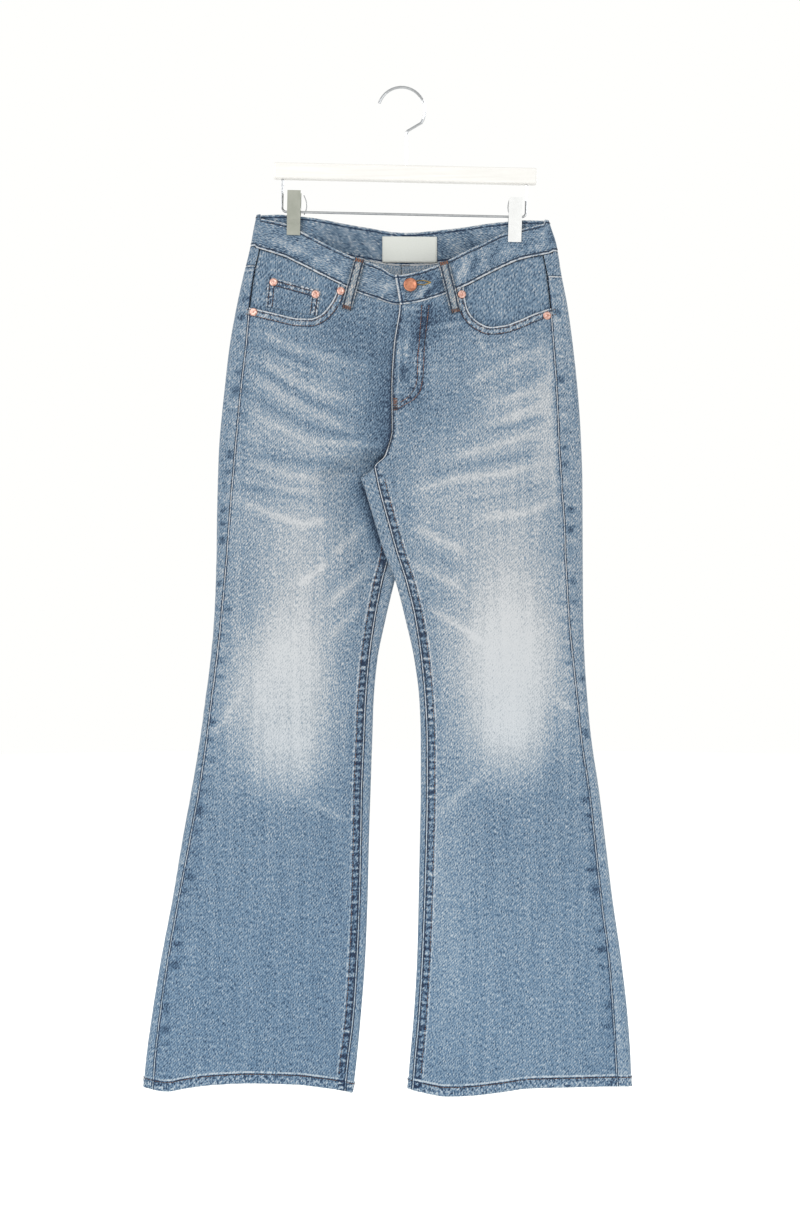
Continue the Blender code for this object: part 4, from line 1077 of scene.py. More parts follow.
def on_stations(sheet, *kinds):
    """True at the points of a back sheet that lie on stations of these kinds."""
    found = np.array([kind in kinds for kind, t in BACK_STATIONS])
    return found[None, :] & np.ones((sheet.rows, 1), dtype=bool)


def yoke_share(kind, t):
    """How far along the yoke's lower seam a station is, from the side to the centre."""
    return t if kind == "back" else float(kind in ("turn", "flap"))


def back_oval(sheet, x, z, wide, high):
    """A soft oval on the back of either half, with x counted from the middle."""
    oval = np.exp(-((np.abs(sheet.x) - x) / wide) ** 2 - ((sheet.z - z) / high) ** 2)
    return np.where(on_stations(sheet, "back"), oval, 0.0)


for side, word in SIDES:
    sheet = back_sheet(side)
    run = sheet.along()
    yoke_line = np.array([mix(YOKE_SIDE[side], YOKE_CENTRE, yoke_share(*place)) for place in BACK_STATIONS])
    is_strip = on_stations(sheet, "strip", "cap")
    is_back = on_stations(sheet, "back")
    is_flap = on_stations(sheet, "turn", "flap")
    sheet.masks["to_side"] = run
    sheet.masks["to_inseam"] = np.where(on_stations(sheet, "flap"), to_edge(side, "seam", sheet), FAR)
    sheet.masks["to_yoke"] = yoke_line[None, :] - sheet.z
    sheet.masks["to_seat"] = np.where(is_back & (sheet.z > FOLD_LEVEL), to_edge(side, "end", sheet), FAR)
    sheet.masks["to_hem"] = to_hem(side, sheet)
    fold = 1.0 - rise_to(sheet.masks["to_hem"], HEM_HEIGHT - 0.5, HEM_HEIGHT + 0.5)
    rope = pucker(sheet.x - 0.7 * sheet.z, 7.6, 5.0)
    side_wave = pucker(sheet.z, 25.0, 4.0 + side)
    near_side = np.exp(-(run / 11.0) ** 2)
    sheet.height = 0.45 * side_wave * near_side + fold * (HEM_RISE + 0.4 * rope)
    seat_wave = pucker(sheet.z, 9.0, 7.0) * np.exp(-(sheet.masks["to_seat"] / 9.0) ** 2)
    sheet.height += 0.3 * seat_wave
    sheet.masks["pale"] = 0.45 * back_oval(sheet, 105, -400, 70, 90)
    sheet.masks["pale"] += 0.15 * back_oval(sheet, 140, -760, 60, 160)
    sheet.masks["pale"] += 0.25 * near_side * np.maximum(side_wave, 0.0)
    sheet.masks["pale"] += (0.09 if side == RIGHT else 0.19) * is_strip + 0.13 * is_flap
    near_yoke = np.exp(-((sheet.masks["to_yoke"] - 5.5) / 4.5) ** 4)
    near_seat = np.exp(-((sheet.masks["to_seat"] - 5.5) / 4.5) ** 4)
    sheet.masks["knots"] = np.minimum(0.9 * fold + 0.5 * near_yoke + 0.5 * near_seat, 1.0)
    blot_spot = np.exp(-((run - 6.5 - 1.5 * np.sin(sheet.z / 17.0)) / 4.2) ** 2)
    sheet.masks["deep"] = 0.95 * blot_spot * blots(side, sheet.z, False) + 0.6 * fold * np.maximum(-rope, 0)
    sheet.masks["deep"] += 0.3 * np.maximum(-seat_wave, 0.0)
    for mask in sheet.masks.values():
        np.nan_to_num(mask, copy=False)
    grain = np.stack([np.where(is_back, sheet.x, run * side), np.nan_to_num(sheet.z)], axis=2)
    dress("back_panel_" + word, sheet, CLOTH, BACK_DENIM, grain=np.nan_to_num(grain), inside=DENIM_IN)

# %% [markdown]
# The waistband is one long strip of double cloth. It starts at the front end that laps over, goes
# round the back and comes to the front again, where its other end passes behind the first.

# %% The waistband's ring
BAND_CLOTH = 2.6
BAND_HIGH = 37.0
LAP_END = {0.0: -1.8, 1.0: -8.0}
UNDERLAP = (3.0, 8.0, 13.0, 19.0, 25.0, 30.0)
UNDERLAP_SINK = BAND_CLOTH + 0.5
BAND_ROWS = (0.0, 0.03, 0.06, 0.1, 0.16, 0.24, 0.34, 0.46, 0.58, 0.7, 0.8, 0.87, 0.91, 0.94, 0.97, 1.0)


def band_spot(side, kind, share, height):
    edges = FRONT_BAND if kind in ("front", "strip") else BACK_BAND
    z = -200.0
    for _ in range(6):
        x = station(side, kind, share, z)[0].x
        z = mix(edges.read("bottom", x), edges.read("top", x), height)
    return station(side, kind, share, z)


band_ring = []
for side in (LEFT, RIGHT):
    part = [(side, "front", t) for t in np.linspace(1.0, 0.0, 52)]
    part += [(side, "strip", 0.5)]
    part += [(side, "cap", t) for t in np.linspace(0.0, 1.0, 7)]
    part += [(side, "back", t) for t in np.linspace(0.0, 1.0, 52)[1:]]
    band_ring += part[1:] if side == LEFT else list(reversed(part[:-1]))


def band_point(i, height):
    """A point of the waistband: i counts the stations, height runs from its seam, 0, to its top, 1."""
    if i == 0:
        end_x = mix(LAP_END[0.0], LAP_END[1.0], height)
        end_z = mix(FRONT_BAND.read("bottom", end_x), FRONT_BAND.read("top", end_x), height)
        return on_front(LEFT, end_x, end_z)
    if i <= len(band_ring):
        side, kind, share = band_ring[i - 1]
        point, out = band_spot(side, kind, share, height)
        behind = i > len(band_ring) // 2 and kind == "front"
    else:
        x = UNDERLAP[i - 1 - len(band_ring)]
        z = mix(FRONT_BAND.read("bottom", x), FRONT_BAND.read("top", x), height)
        point, out = on_front(RIGHT, x, z)
        behind = True
    if behind:
        point = point - out * UNDERLAP_SINK * ramp(point.x, -52.0, -16.0)
    return point, out


print("stations round the waistband:", len(band_ring))

# %% [markdown]
# The band's wear follows its length: pale and dark puckers along the lower seam, long soft waves
# along the middle, and a few creases near the button and the clips, placed one by one.

# %% Waistband
BAND_LINES = (
    ("to_top", -1.0, 0.9, 0.6, 0.30),
    ("to_top", 2.8, 3.6, 0.7, -0.75),
    ("to_low", -1.0, 1.1, 0.5, 0.60),
    ("to_low", 2.4, 3.2, 0.7, -0.75),
    ("to_lap", -1.0, 1.5, 0.5, 0.60),
    ("to_lap", 3.0, 4.0, 0.6, -0.75),
)
BAND_DENIM = denim("denim_waistband", tone=0.47, lines=BAND_LINES, mottle=0.42)
BAND_COLUMNS = len(band_ring) + 1 + len(UNDERLAP)
sheet = Sheet(BAND_COLUMNS, len(BAND_ROWS), lambda i, j: band_point(i, 1.0 - BAND_ROWS[j]))
run = sheet.along()
share = np.array(BAND_ROWS)[:, None] * np.ones((1, sheet.columns))
sheet.masks["to_top"] = share * BAND_HIGH
sheet.masks["to_low"] = (1.0 - share) * BAND_HIGH
low_wave = pucker(run, 9.0, 2.0) * np.exp(-(sheet.masks["to_low"] / 7.0) ** 2)
mid_wave = pucker(run + 14.0 * share, 31.0, 5.0) * np.sin(math.pi * share)
sheet.masks["to_lap"] = run
sheet.height = 0.25 * low_wave + 0.5 * mid_wave
BAND_CREASES = (
    (LEFT, 2.2, 0.75, ((18, -256), (26, -248), (36, -238))),
    (LEFT, 4.5, -0.8, ((24, -256), (36, -245), (50, -232))),
    (LEFT, 2.0, 0.5, ((62, -238), (72, -222), (82, -208))),
    (LEFT, 1.8, 0.5, ((70, -236), (84, -212))),
    (LEFT, 4.0, -0.5, ((14, -226), (30, -230), (44, -224))),
    (LEFT, 2.4, 0.35, ((110, -204), (140, -194), (176, -190))),
    (RIGHT, 3.0, 0.4, ((-176, -180), (-150, -184), (-120, -198), (-96, -208))),
    (RIGHT, 3.0, -0.35, ((-170, -188), (-146, -194), (-126, -206))),
    (RIGHT, 3.0, 0.35, ((-96, -214), (-80, -220), (-68, -230))),
    (RIGHT, 3.0, 0.35, ((-46, -232), (-30, -238), (-14, -238))),
)
band_side = np.where(sheet.x > -8.0, LEFT, RIGHT)
is_front = sheet.point[:, :, 1] < 0.0
fold_wear = sum(np.where((band_side == side) & is_front, creases(BAND_CREASES, side, sheet.x, sheet.z), 0.0)
                for side in (RIGHT, LEFT))
sheet.height += 0.6 * fold_wear
sheet.masks["pale"] = 0.28 * np.maximum(mid_wave, 0.0) + 0.25 * np.maximum(low_wave, 0.0)
sheet.masks["pale"] += np.maximum(fold_wear, 0.0)
sheet.masks["deep"] = 0.3 * np.maximum(-mid_wave, 0.0) + 0.45 * np.maximum(-low_wave, 0.0)
sheet.masks["deep"] += np.maximum(-fold_wear, 0.0)
sheet.masks["knots"] = 0.5 * np.exp(-((sheet.masks["to_low"] - 3.5) / 3.0) ** 4)
sheet.masks["knots"] += 0.45 * np.exp(-((sheet.masks["to_top"] - 3.0) / 2.6) ** 4)
grain = np.stack([-sheet.masks["to_top"], run], axis=2)
dress("waistband", sheet, BAND_CLOTH, BAND_DENIM, grain=grain)

# %% [markdown]
# The smaller pieces lie on the same forms. The two yokes lie over the seat, between the waistband
# and the back panels.

# %% Yokes
YOKE_ROWS = 16
YOKE_DENIM = denim("denim_yokes", lines=(
    ("to_low", -1.0, 0.6, 0.5, -0.3), ("to_top", -1.0, 0.8, 0.6, -0.35)))
for side, word in SIDES:
    spots = [s for s in BACK_STATIONS if s[0] not in ("turn", "flap")]

    def spot(i, j):
        kind, t = spots[i]
        top = band_spot(side, kind, t, 0.0)[0].z - GAP
        low = mix(YOKE_SIDE[side], YOKE_CENTRE, yoke_share(kind, t)) + 0.5 * GAP
        return station(side, kind, t, mix(top, low, j / (YOKE_ROWS - 1)))

    sheet = Sheet(len(spots), YOKE_ROWS, spot)
    sheet.masks["to_top"] = sheet.z[0:1, :] - sheet.z
    sheet.masks["to_low"] = sheet.z - sheet.z[-1:, :]
    wave = pucker(sheet.x, 9.0, 3.0) * np.exp(-(sheet.masks["to_low"] / 8.0) ** 2)
    sheet.height = 0.25 * wave
    sheet.masks["pale"] = 0.25 * np.maximum(wave, 0.0)
    sheet.masks["deep"] = 0.3 * np.maximum(-wave, 0.0)
    dress("back_yoke_" + word, sheet, CLOTH, YOKE_DENIM, inside=DENIM_IN)

# %% [markdown]
# Inside each pocket mouth a facing lies behind the front panel, from the waistband to a little below
# the mouth, and it is darker along the mouth's edge.

# %% Inside the pocket mouths
FACING_SINK = CLOTH + GAP
FACING_CLOTH = 1.2
FACING_REACH = 14.0
FACING_DENIM = denim("denim_facings", tone=0.44, lines=(("to_top", -1.0, 0.8, 0.8, -0.4),), mottle=0.24,
                     twill=0.17, grain=0.9, fine=0.76)
for side, word in SIDES:
    shares = np.linspace(0.004, 0.69, 46)

    def spot(i, j):
        x, _, top = band_spot(side, "front", shares[i], 0.0)[0]
        low = SCOOPS[side].read("z", x) - FACING_REACH
        point, out = station(side, "front", shares[i], mix(top - GAP, low, j / 23.0))
        return point - out * FACING_SINK, out

    sheet = Sheet(len(shares), 24, spot)
    near_mouth = to_line(mouth_line(side), sheet.x, sheet.z)[0]
    sheet.masks["to_top"] = sheet.z[0:1, :] - sheet.z
    sheet.masks["pale"] = 0.10 * np.ones_like(sheet.x)
    sheet.masks["deep"] = 0.35 * np.exp(-(near_mouth / 7.0) ** 2)
    dress("pocket_facing_" + word, sheet, FACING_CLOTH, FACING_DENIM, inside=DENIM_IN)

# %% [markdown]
# The coin pocket lies on the right facing. It is given by its four corners, and it ends just above
# the edge of the pocket mouth, which covers the rest of it.

# %% Coin pocket
POCKET_CLOTH = 1.0
COIN_WIDTH = 64.0
COIN_CORNERS = ((-160.3, -227.6), (-97.1, -246.6), (-163.3, -264.7), (-101.5, -276.4))


def coin_spot(t, part):
    top_left, top_right, low_left, low_right = COIN_CORNERS
    x = mix(mix(top_left[0], top_right[0], t), mix(low_left[0], low_right[0], t), part)
    low = mix(low_left[1], low_right[1], t)
    mouth = SCOOPS[RIGHT].read("z", mix(low_left[0], low_right[0], t)) + 2.0 * GAP
    z = mix(mix(top_left[1], top_right[1], t), max(low, mouth), part)
    point, out = on_front(RIGHT, x, z)
    return point - out * (FACING_SINK - GAP - POCKET_CLOTH), out


COIN_DENIM = denim("denim_coin_pocket", mottle=0.2, lines=(
    ("to_top", -1.0, 1.0, 0.6, 0.3), ("to_top", 2.4, 3.2, 0.7, -0.6), ("to_top", 8.2, 9.2, 0.8, -0.5),
    ("to_edge", -1.0, 0.8, 0.6, 0.25), ("to_edge", 2.2, 3.0, 0.7, -0.55), ("to_edge", 7.6, 8.4, 0.8, -0.45)))
sheet = Sheet(31, 21, lambda i, j: coin_spot(i / 30.0, j / 20.0))
t = sheet.share_across()
sheet.masks["to_top"] = sheet.z[0:1, :] - sheet.z
sheet.masks["to_edge"] = COIN_WIDTH * np.minimum(t, 1.0 - t)
wave = pucker(sheet.x, 5.6, 1.0) * np.exp(-(sheet.masks["to_top"] / 9.0) ** 4)
wave += pucker(sheet.z, 6.4, 2.0) * np.exp(-(sheet.masks["to_edge"] / 8.0) ** 4)
sheet.height = 0.15 * wave
sheet.masks["pale"] = 0.6 * np.maximum(wave, 0.0)
sheet.masks["deep"] = 0.15 + 0.7 * np.maximum(-wave, 0.0)
sheet.masks["knots"] = 0.9 * np.exp(-(np.minimum(sheet.masks["to_top"], sheet.masks["to_edge"]) / 9.5) ** 6)
dress("coin_pocket", sheet, POCKET_CLOTH, COIN_DENIM)

# %% [markdown]
# The back pockets are plain patches that narrow downwards to a blunt point. They lie on the back
# panels and fade in the middle.

# %% Back pockets
BACK_POCKET = {"outer_top": (165.0, -260.5), "inner_top": (40.0, -272.5),
               "outer_low": (160.0, -374.5), "inner_low": (47.5, -383.0), "point_drop": 32.0}
POCKET_SEAT = 0.45
POCKET_HEIGHT = 112.0
POCKET_WIDTH = 118.0
POCKET_LONGEST = 125.0


def back_pocket_spot(side, t, part):
    shape = BACK_POCKET
    outer = [mix(shape["outer_top"][k], shape["outer_low"][k], part) for k in (0, 1)]
    inner = [mix(shape["inner_top"][k], shape["inner_low"][k], part) for k in (0, 1)]
    point_drop = shape["point_drop"] * (1.0 - abs(2.0 * t - 1.0)) * part ** 2
    point, out = on_back(side, side * mix(outer[0], inner[0], t), mix(outer[1], inner[1], t) - point_drop)
    return point + out * (POCKET_SEAT + CLOTH), out


POCKET_DENIM = denim("denim_back_pockets", lines=(
    ("to_edge", -1.0, 1.2, 0.6, 0.42), ("to_edge", 2.4, 2.8, 0.7, -0.35),
    ("to_top", -1.0, 1.2, 0.6, 0.42), ("to_top", 2.4, 2.8, 0.7, -0.35), ("to_top", 13.0, 13.6, 0.8, -0.3)))
for side, word in SIDES:
    sheet = Sheet(43, 43, lambda i, j: back_pocket_spot(side, i / 42.0, j / 42.0))
    part = sheet.share_down()
    t = sheet.share_across()
    sheet.masks["to_top"] = part * POCKET_HEIGHT
    sheet.masks["to_edge"] = np.minimum(np.minimum(t, 1.0 - t) * POCKET_WIDTH, (1.0 - part) * POCKET_LONGEST)
    wave = pucker(sheet.x + sheet.z, 10.0, 2.0) * np.exp(-(sheet.masks["to_edge"] / 7.0) ** 2)
    sheet.height = 0.25 * wave
    middle = np.exp(-((t - 0.5) / 0.35) ** 2 - ((part - 0.55) / 0.35) ** 2)
    sheet.masks["pale"] = 0.3 * middle + 0.2 * np.maximum(wave, 0.0)
    sheet.masks["knots"] = 0.6 * np.exp(-(sheet.masks["to_edge"] / 9.0) ** 4)
    sheet.masks["deep"] = 0.3 * np.maximum(-wave, 0.0)
    dress("back_pocket_" + word, sheet, CLOTH, POCKET_DENIM)

# %% [markdown]
# A belt loop is a narrow strip between two places on the cloth, and it bows away from the waistband
# in between. Two raised lines run along it, with its stitches on them.

# %% Belt loops
LOOP_WIDTH = 12.6
LOOP_LENGTH = 62.0
LOOP_BOW = 2.2
LOOP_SEAT = 0.6
LOOP_CLOTH = 1.6
LOOP_ENDS = {
    "belt_loop_front_right": (on_front, RIGHT, (-49.8, -207.6), (-66.1, -269.2)),
    "belt_loop_front_left": (on_front, LEFT, (50.0, -211.0), (65.0, -273.0)),
    "belt_loop_back_right": (on_back, RIGHT, (-90.0, -160.6), (-86.0, -222.5)),
    "belt_loop_back_left": (on_back, LEFT, (92.0, -166.0), (88.0, -228.0)),
    "belt_loop_back_middle": (on_back, LEFT, (4.0, -174.0), (4.0, -236.0)),
}


def loop_spot(name, share, part):
    surface, side, top, low = LOOP_ENDS[name]
    along = Vector((low[0] - top[0], low[1] - top[1])).normalized()
    x = mix(top[0], low[0], part) - along.y * (share - 0.5) * LOOP_WIDTH
    z = mix(top[1], low[1], part) + along.x * (share - 0.5) * LOOP_WIDTH
    point, out = surface(side, x, z)
    return point + out * (LOOP_SEAT + LOOP_BOW * math.sin(math.pi * part) + LOOP_CLOTH), out


LOOP_DENIM = denim("denim_loops", tone=0.46, mottle=0.3, tint=(1.12, 0.99, 0.88), lines=(
    ("to_edge", -1.0, 0.5, 0.5, 0.25), ("to_edge", 1.6, 2.6, 0.6, -0.62), ("to_end", -1.0, 4.0, 1.5, -0.3)))
for name in LOOP_ENDS:
    sheet = Sheet(13, 41, lambda i, j: loop_spot(name, i / 12.0, j / 40.0))
    t = sheet.share_across()
    part = sheet.share_down()
    sheet.masks["to_edge"] = LOOP_WIDTH * np.minimum(t, 1.0 - t)
    sheet.masks["to_end"] = LOOP_LENGTH * np.minimum(part, 1.0 - part)
    sheet.height = 0.3 * (np.exp(-((t - 0.2) / 0.13) ** 2) + np.exp(-((t - 0.8) / 0.13) ** 2)) - 0.3
    knots = pucker(LOOP_LENGTH * part, 5.2, 1.0)
    seams = np.exp(-((np.abs(t - 0.5) - 0.33) / 0.09) ** 2)
    sheet.masks["pale"] = 0.36 * np.exp(-((t - 0.5) / 0.2) ** 2) + 0.3 * np.maximum(knots, 0.0) * seams
    sheet.masks["deep"] = seams * (0.3 + 0.6 * np.maximum(-knots, 0.0))
    sheet.masks["knots"] = 0.9 * seams
    dress(name, sheet, LOOP_CLOTH, LOOP_DENIM)

# %% [markdown]
# Inside the back waistband is a plain woven patch. It stays bare.

# %% Bare patch inside the back waistband
LABEL = {"x": (-23.2, 43.2), "top": (-176.0, -176.4), "height": 31.0, "cloth": 1.0}
patch = Finish("patch_cloth")
threads = patch.noise(patch.weave(), (900.0, 900.0, 1.0), 1.0, 0.5, "2D")
patch_colour = patch.coloured(threads, (0.3, (0.50, 0.515, 0.485)), (0.7, (0.54, 0.555, 0.525)))
patch.surface(Base_Color=patch_colour, Roughness=0.8, Normal=patch.bump(threads, 0.15, 0.0003))


def label_spot(i, j):
    t = i / 24.0
    x = mix(*LABEL["x"], t)
    z = mix(*LABEL["top"], t) - LABEL["height"] * j / 12.0
    point, out = on_back(LEFT if x > 0.0 else RIGHT, x, z)
    return point - out * (BAND_CLOTH + 0.5 + LABEL["cloth"]), -out


dress("waist_label", Sheet(25, 13, label_spot), LABEL["cloth"], patch.material, slot="label")

# %% [markdown]
# Stitches are many and small, so one little bead of a few dozen faces is copied along each seam and
# all copies of a colour become one mesh. A run is a list of points with the direction out of the
# cloth, and the beads are spaced evenly along it.

# %% A bead and its copies
STITCH_PITCH = 3.1
STITCH_LENGTH = 2.5
STITCH_WIDTH = 0.95


def bead_shape():
    mesh = bmesh.new()
    bmesh.ops.create_uvsphere(mesh, u_segments=6, v_segments=4, radius=0.5)
    mesh.verts.ensure_lookup_table()
    points = np.array([vertex.co[:] for vertex in mesh.verts])
    faces = [[vertex.index for vertex in face.verts] for face in mesh.faces]
    mesh.free()
    return points, faces


BEAD_POINTS, BEAD_FACES = bead_shape()


def stitches(name, runs, finish, width=STITCH_WIDTH, pitch=STITCH_PITCH, length=STITCH_LENGTH):
    """One mesh of stitches along runs of (point, out)."""
    points = []
    faces = []
    for run in runs:
        spots = np.array([point[:] for point, out in run])
        ways = np.array([out[:] for point, out in run])
        far = np.concatenate([[0.0], np.cumsum(np.linalg.norm(np.diff(spots, axis=0), axis=1))])
        for at in np.arange(0.5 * pitch, far[-1], pitch):
            centre = np.array([np.interp(at, far, spots[:, k]) for k in range(3)])
            ahead = np.array([np.interp(min(at + 0.5, far[-1]), far, spots[:, k]) for k in range(3)])
            behind = np.array([np.interp(max(at - 0.5, 0.0), far, spots[:, k]) for k in range(3)])
            out = np.array([np.interp(at, far, ways[:, k]) for k in range(3)])
            along = (ahead - behind) / max(np.linalg.norm(ahead - behind), 1e-6)
            out = out - along * out.dot(along)
            out /= np.linalg.norm(out)
            beside = np.cross(out, along)
            bead = (BEAD_POINTS[:, 2:3] * length * along + BEAD_POINTS[:, 0:1] * width * beside
                    + BEAD_POINTS[:, 1:2] * width * out)
            start = len(points) * len(BEAD_POINTS)
            points.append((centre + bead) * MM)
            faces += [[start + corner for corner in face] for face in BEAD_FACES]
    data = bpy.data.meshes.new(name)
    data.from_pydata(np.concatenate(points).tolist(), [], faces)
    piece = linked(name, data, finish)
    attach(piece, "root")
    print(name, len(points), "stitches")


print("faces of a bead:", len(BEAD_FACES))

# %% [markdown]
# The threads are worn too: each runs from a dark tone to a paler one along the seam.

# %% Threads
def thread(name, dark, pale):
    twist = Finish(name)
    place = twist.place()
    wear = twist.noise(place, (120.0, 120.0, 120.0), 2.0)
    twist.surface(Base_Color=twist.coloured(wear, (0.35, dark), (0.68, pale)), Roughness=0.75,
                  Normal=twist.bump(twist.noise(place, (1500.0, 1500.0, 1500.0), 1.0), 0.3, 0.0002))
    return twist.material


TAN_THREAD = thread("tan_thread", (0.035, 0.030, 0.030), (0.20, 0.115, 0.075))
NAVY_THREAD = thread("navy_thread", (0.015, 0.02, 0.035), (0.05, 0.065, 0.09))
RUST_THREAD = thread("rust_thread", (0.045, 0.035, 0.036), (0.30, 0.125, 0.06))
OCHRE_THREAD = thread("ochre_thread", (0.10, 0.065, 0.02), (0.34, 0.23, 0.07))
print("threads:", ", ".join(spool.name for spool in (TAN_THREAD, NAVY_THREAD, RUST_THREAD, OCHRE_THREAD)))

# %% [markdown]
# A run follows the same forms as the sheets, lifted by the height that the cloth has there. Rows of
# stitches lie at even distances from their seam.

# %% Lines to stitch along
def lifted(spot, lift):
    point, out = spot
    return point + out * lift, out


def front_run(side, first, last, to_seam):
    """A line down a front panel at an even distance from its inner seam."""
    run = []
    for z in np.linspace(first, last, round(abs(last - first) / 3.0)):
        x = half(side, "seam", z) + side * to_seam
        over_hem = z - HEMS[side].read("z", x)
        marks = [np.array([mark]) for mark in (to_seam, FAR, over_hem, FAR)]
        height = front_relief(side, np.array([x]), np.array([z]), *marks)[0][0]
        run.append(lifted(on_front(side, x, z), height + 0.15))
    return run


def hem_run(side, places):
    """A line just under the upper edge of a hem, through stations of its leg."""
    run = []
    for kind, t in places:
        edge = station(side, kind, t, HEM_LEVEL)[0].x
        z = HEMS[side].read("z", edge) + HEM_HEIGHT - 1.6
        run.append(lifted(station(side, kind, t, z), HEM_RISE + 0.2))
    return run


def mouth_run(side, inset):
    line = mouth_line(side)
    run = []
    for (x0, z0), (x1, z1) in zip(line, line[1:]):
        along = Vector((x1 - x0, z1 - z0)).normalized()
        below = Vector((along.y, -along.x)) * (1.0 if along.x > 0.0 else -1.0)
        x, z = x0 + below.x * inset, z0 + below.y * inset
        run.append(lifted(on_front(side, x, z), 0.45))
    return run


def line_run(side, points, lift=0.4):
    """A stitched line through points of the front sheet."""
    run = []
    for (x0, z0), (x1, z1) in zip(points, points[1:]):
        for t in np.linspace(0.0, 1.0, 8)[:-1]:
            run.append(lifted(on_front(side, mix(x0, x1, t), mix(z0, z1, t)), lift))
    return run + [lifted(on_front(side, *points[-1]), lift)]


def tack(spot_at, half_long, half_wide):
    """A dense bar of stitches about a place: spot_at(along, beside) gives its points, in mm."""
    return [[spot_at(along, beside) for along in np.linspace(-half_long, half_long, 5)]
            for beside in np.linspace(-half_wide, half_wide, 4)]


print("places of a tack:", sum(len(row) for row in tack(lambda along, beside: (along, beside), 1.0, 1.0)))

# %% [markdown]
# Each colour of thread gathers its runs. On the legs and the back, tan thread sews the seams, hems,
# pocket mouths, yokes and back pockets, and navy thread the inner row of the inner seams.

# %% Rows on the legs and the back
CROTCH_START = {RIGHT: -480.0, LEFT: -472.0}
LEG_STOP = HEM_LEVEL + 14.0
OUTER_ROW = 9.6
INNER_ROW = 3.0
ROW_INSETS = (2.8, 8.6)
SEAT_INSETS = (2.6, 8.6)
SEAT_LEVELS = (-284.0, FOLD_LEVEL + 6.0)
POCKET_ROWS = ((0.022, 0.985), (0.075, 0.94))
POCKET_TOP_ROW = 0.12
tan_runs = []
navy_runs = []
rust_runs = []
for side, first in CROTCH_START.items():
    tan_runs += [front_run(side, first, LEG_STOP, OUTER_ROW)]
    navy_runs += [front_run(side, first, LEG_STOP, INNER_ROW)]
    tan_runs += [hem_run(side, [("front", t) for t in np.linspace(0.01, 0.99, 70)])]
    tan_runs += [hem_run(side, BACK_STATIONS)]
    tan_runs += [mouth_run(side, inset) for inset in ROW_INSETS]
    yoke_places = [(kind, t) for kind, t in BACK_STATIONS if kind == "back"]
    for drop in ROW_INSETS:
        tan_runs += [[lifted(station(side, kind, t, mix(YOKE_SIDE[side], YOKE_CENTRE, t) - drop), 0.25)
                      for kind, t in yoke_places]]
    for edge, low in POCKET_ROWS:
        outline = [(edge, part) for part in np.linspace(0.02, low, 24)]
        outline += [(t, low) for t in np.linspace(edge, 1.0 - edge, 30)[1:-1]]
        outline += [(1.0 - edge, part) for part in np.linspace(low, 0.02, 24)]
        tan_runs += [[lifted(back_pocket_spot(side, t, part), 0.3) for t, part in outline]]
    tan_runs += [[lifted(back_pocket_spot(side, t, POCKET_TOP_ROW), 0.25)
                  for t in np.linspace(0.02, 0.98, 30)]]
for inset in SEAT_INSETS:
    tan_runs += [[lifted(on_back(LEFT, half(LEFT, "end", z) + inset, z), 0.3)
                  for z in np.linspace(*SEAT_LEVELS, 50)]]
print("runs on the legs and the back:", len(tan_runs) + len(navy_runs))

# %% [markdown]
# Navy thread sews the seam down the front, the waistband and the loops, and rust thread the fly and
# the tacks at its foot and at the loops' ends. The coin pocket has tan rows. A thick ochre thread
# goes round the buttonhole.

# %% Rows on the fly, the waistband, the coin pocket and the loops
FLY_SEAM = (-268.0, -440.0, 2.8)
FLY_TACK = (-7.2, -382.0)
BAND_HEIGHTS = (1.0 - 3.4 / BAND_HIGH, 2.8 / BAND_HIGH)
BAND_STOP = BAND_COLUMNS - len(UNDERLAP) - 6
COIN_TOP_ROWS = (0.09, 0.24)
COIN_SIDE_ROWS = (0.04, 0.13, 0.87, 0.96)
LOOP_ROWS = (0.17, 0.83)
LOOP_TACKS = (0.04, 0.96)
HOLE_END = (35.0, -236.5)
navy_runs += [front_run(LEFT, *FLY_SEAM)]
rust_runs += [line_run(LEFT, FLY_OUTER), line_run(LEFT, FLY_INNER)]
for height in BAND_HEIGHTS:
    navy_runs += [[lifted(band_point(i, height), 0.3) for i in range(1, BAND_STOP)]]
navy_runs += [[lifted(band_point(2, height), 0.3) for height in np.linspace(0.1, 0.9, 12)]]
for part in COIN_TOP_ROWS:
    tan_runs += [[lifted(coin_spot(t, part), 0.25) for t in np.linspace(0.03, 0.97, 20)]]
for t in COIN_SIDE_ROWS:
    tan_runs += [[lifted(coin_spot(t, part), 0.25) for part in np.linspace(0.28, 0.99, 12)]]
for name in LOOP_ENDS:
    for share in LOOP_ROWS:
        navy_runs += [[lifted(loop_spot(name, share, part), 0.25) for part in np.linspace(0.02, 0.98, 30)]]
    for part in LOOP_TACKS:
        rust_runs += tack(lambda along, beside: lifted(
            loop_spot(name, 0.5 + along / LOOP_WIDTH, part + beside / LOOP_LENGTH), 0.3), 5.0, 1.5)
rust_runs += tack(lambda along, beside: lifted(
    on_front(LEFT, FLY_TACK[0] + beside, FLY_TACK[1] + along), 1.0), 8.0, 1.8)
stitches("seam_stitches", tan_runs, TAN_THREAD)
stitches("band_stitches", navy_runs, NAVY_THREAD)
stitches("fly_and_tack_stitches", rust_runs, RUST_THREAD, width=1.0, pitch=2.6, length=2.2)
hole = [line_run(LEFT, ((18.0, z), (27.0, z + 0.4 * way), HOLE_END), BAND_CLOTH * 0.1 + 0.5)
        for z, way in ((-234.6, 1), (-239.0, -1))]
stitches("buttonhole_stitches", hole, OCHRE_THREAD, width=1.7, pitch=1.2, length=1.7)

# %% [markdown]
# The button and the rivets are turned from a profile. Each sits square on the cloth at its place, so
# its axis follows the slope of the front in both directions.

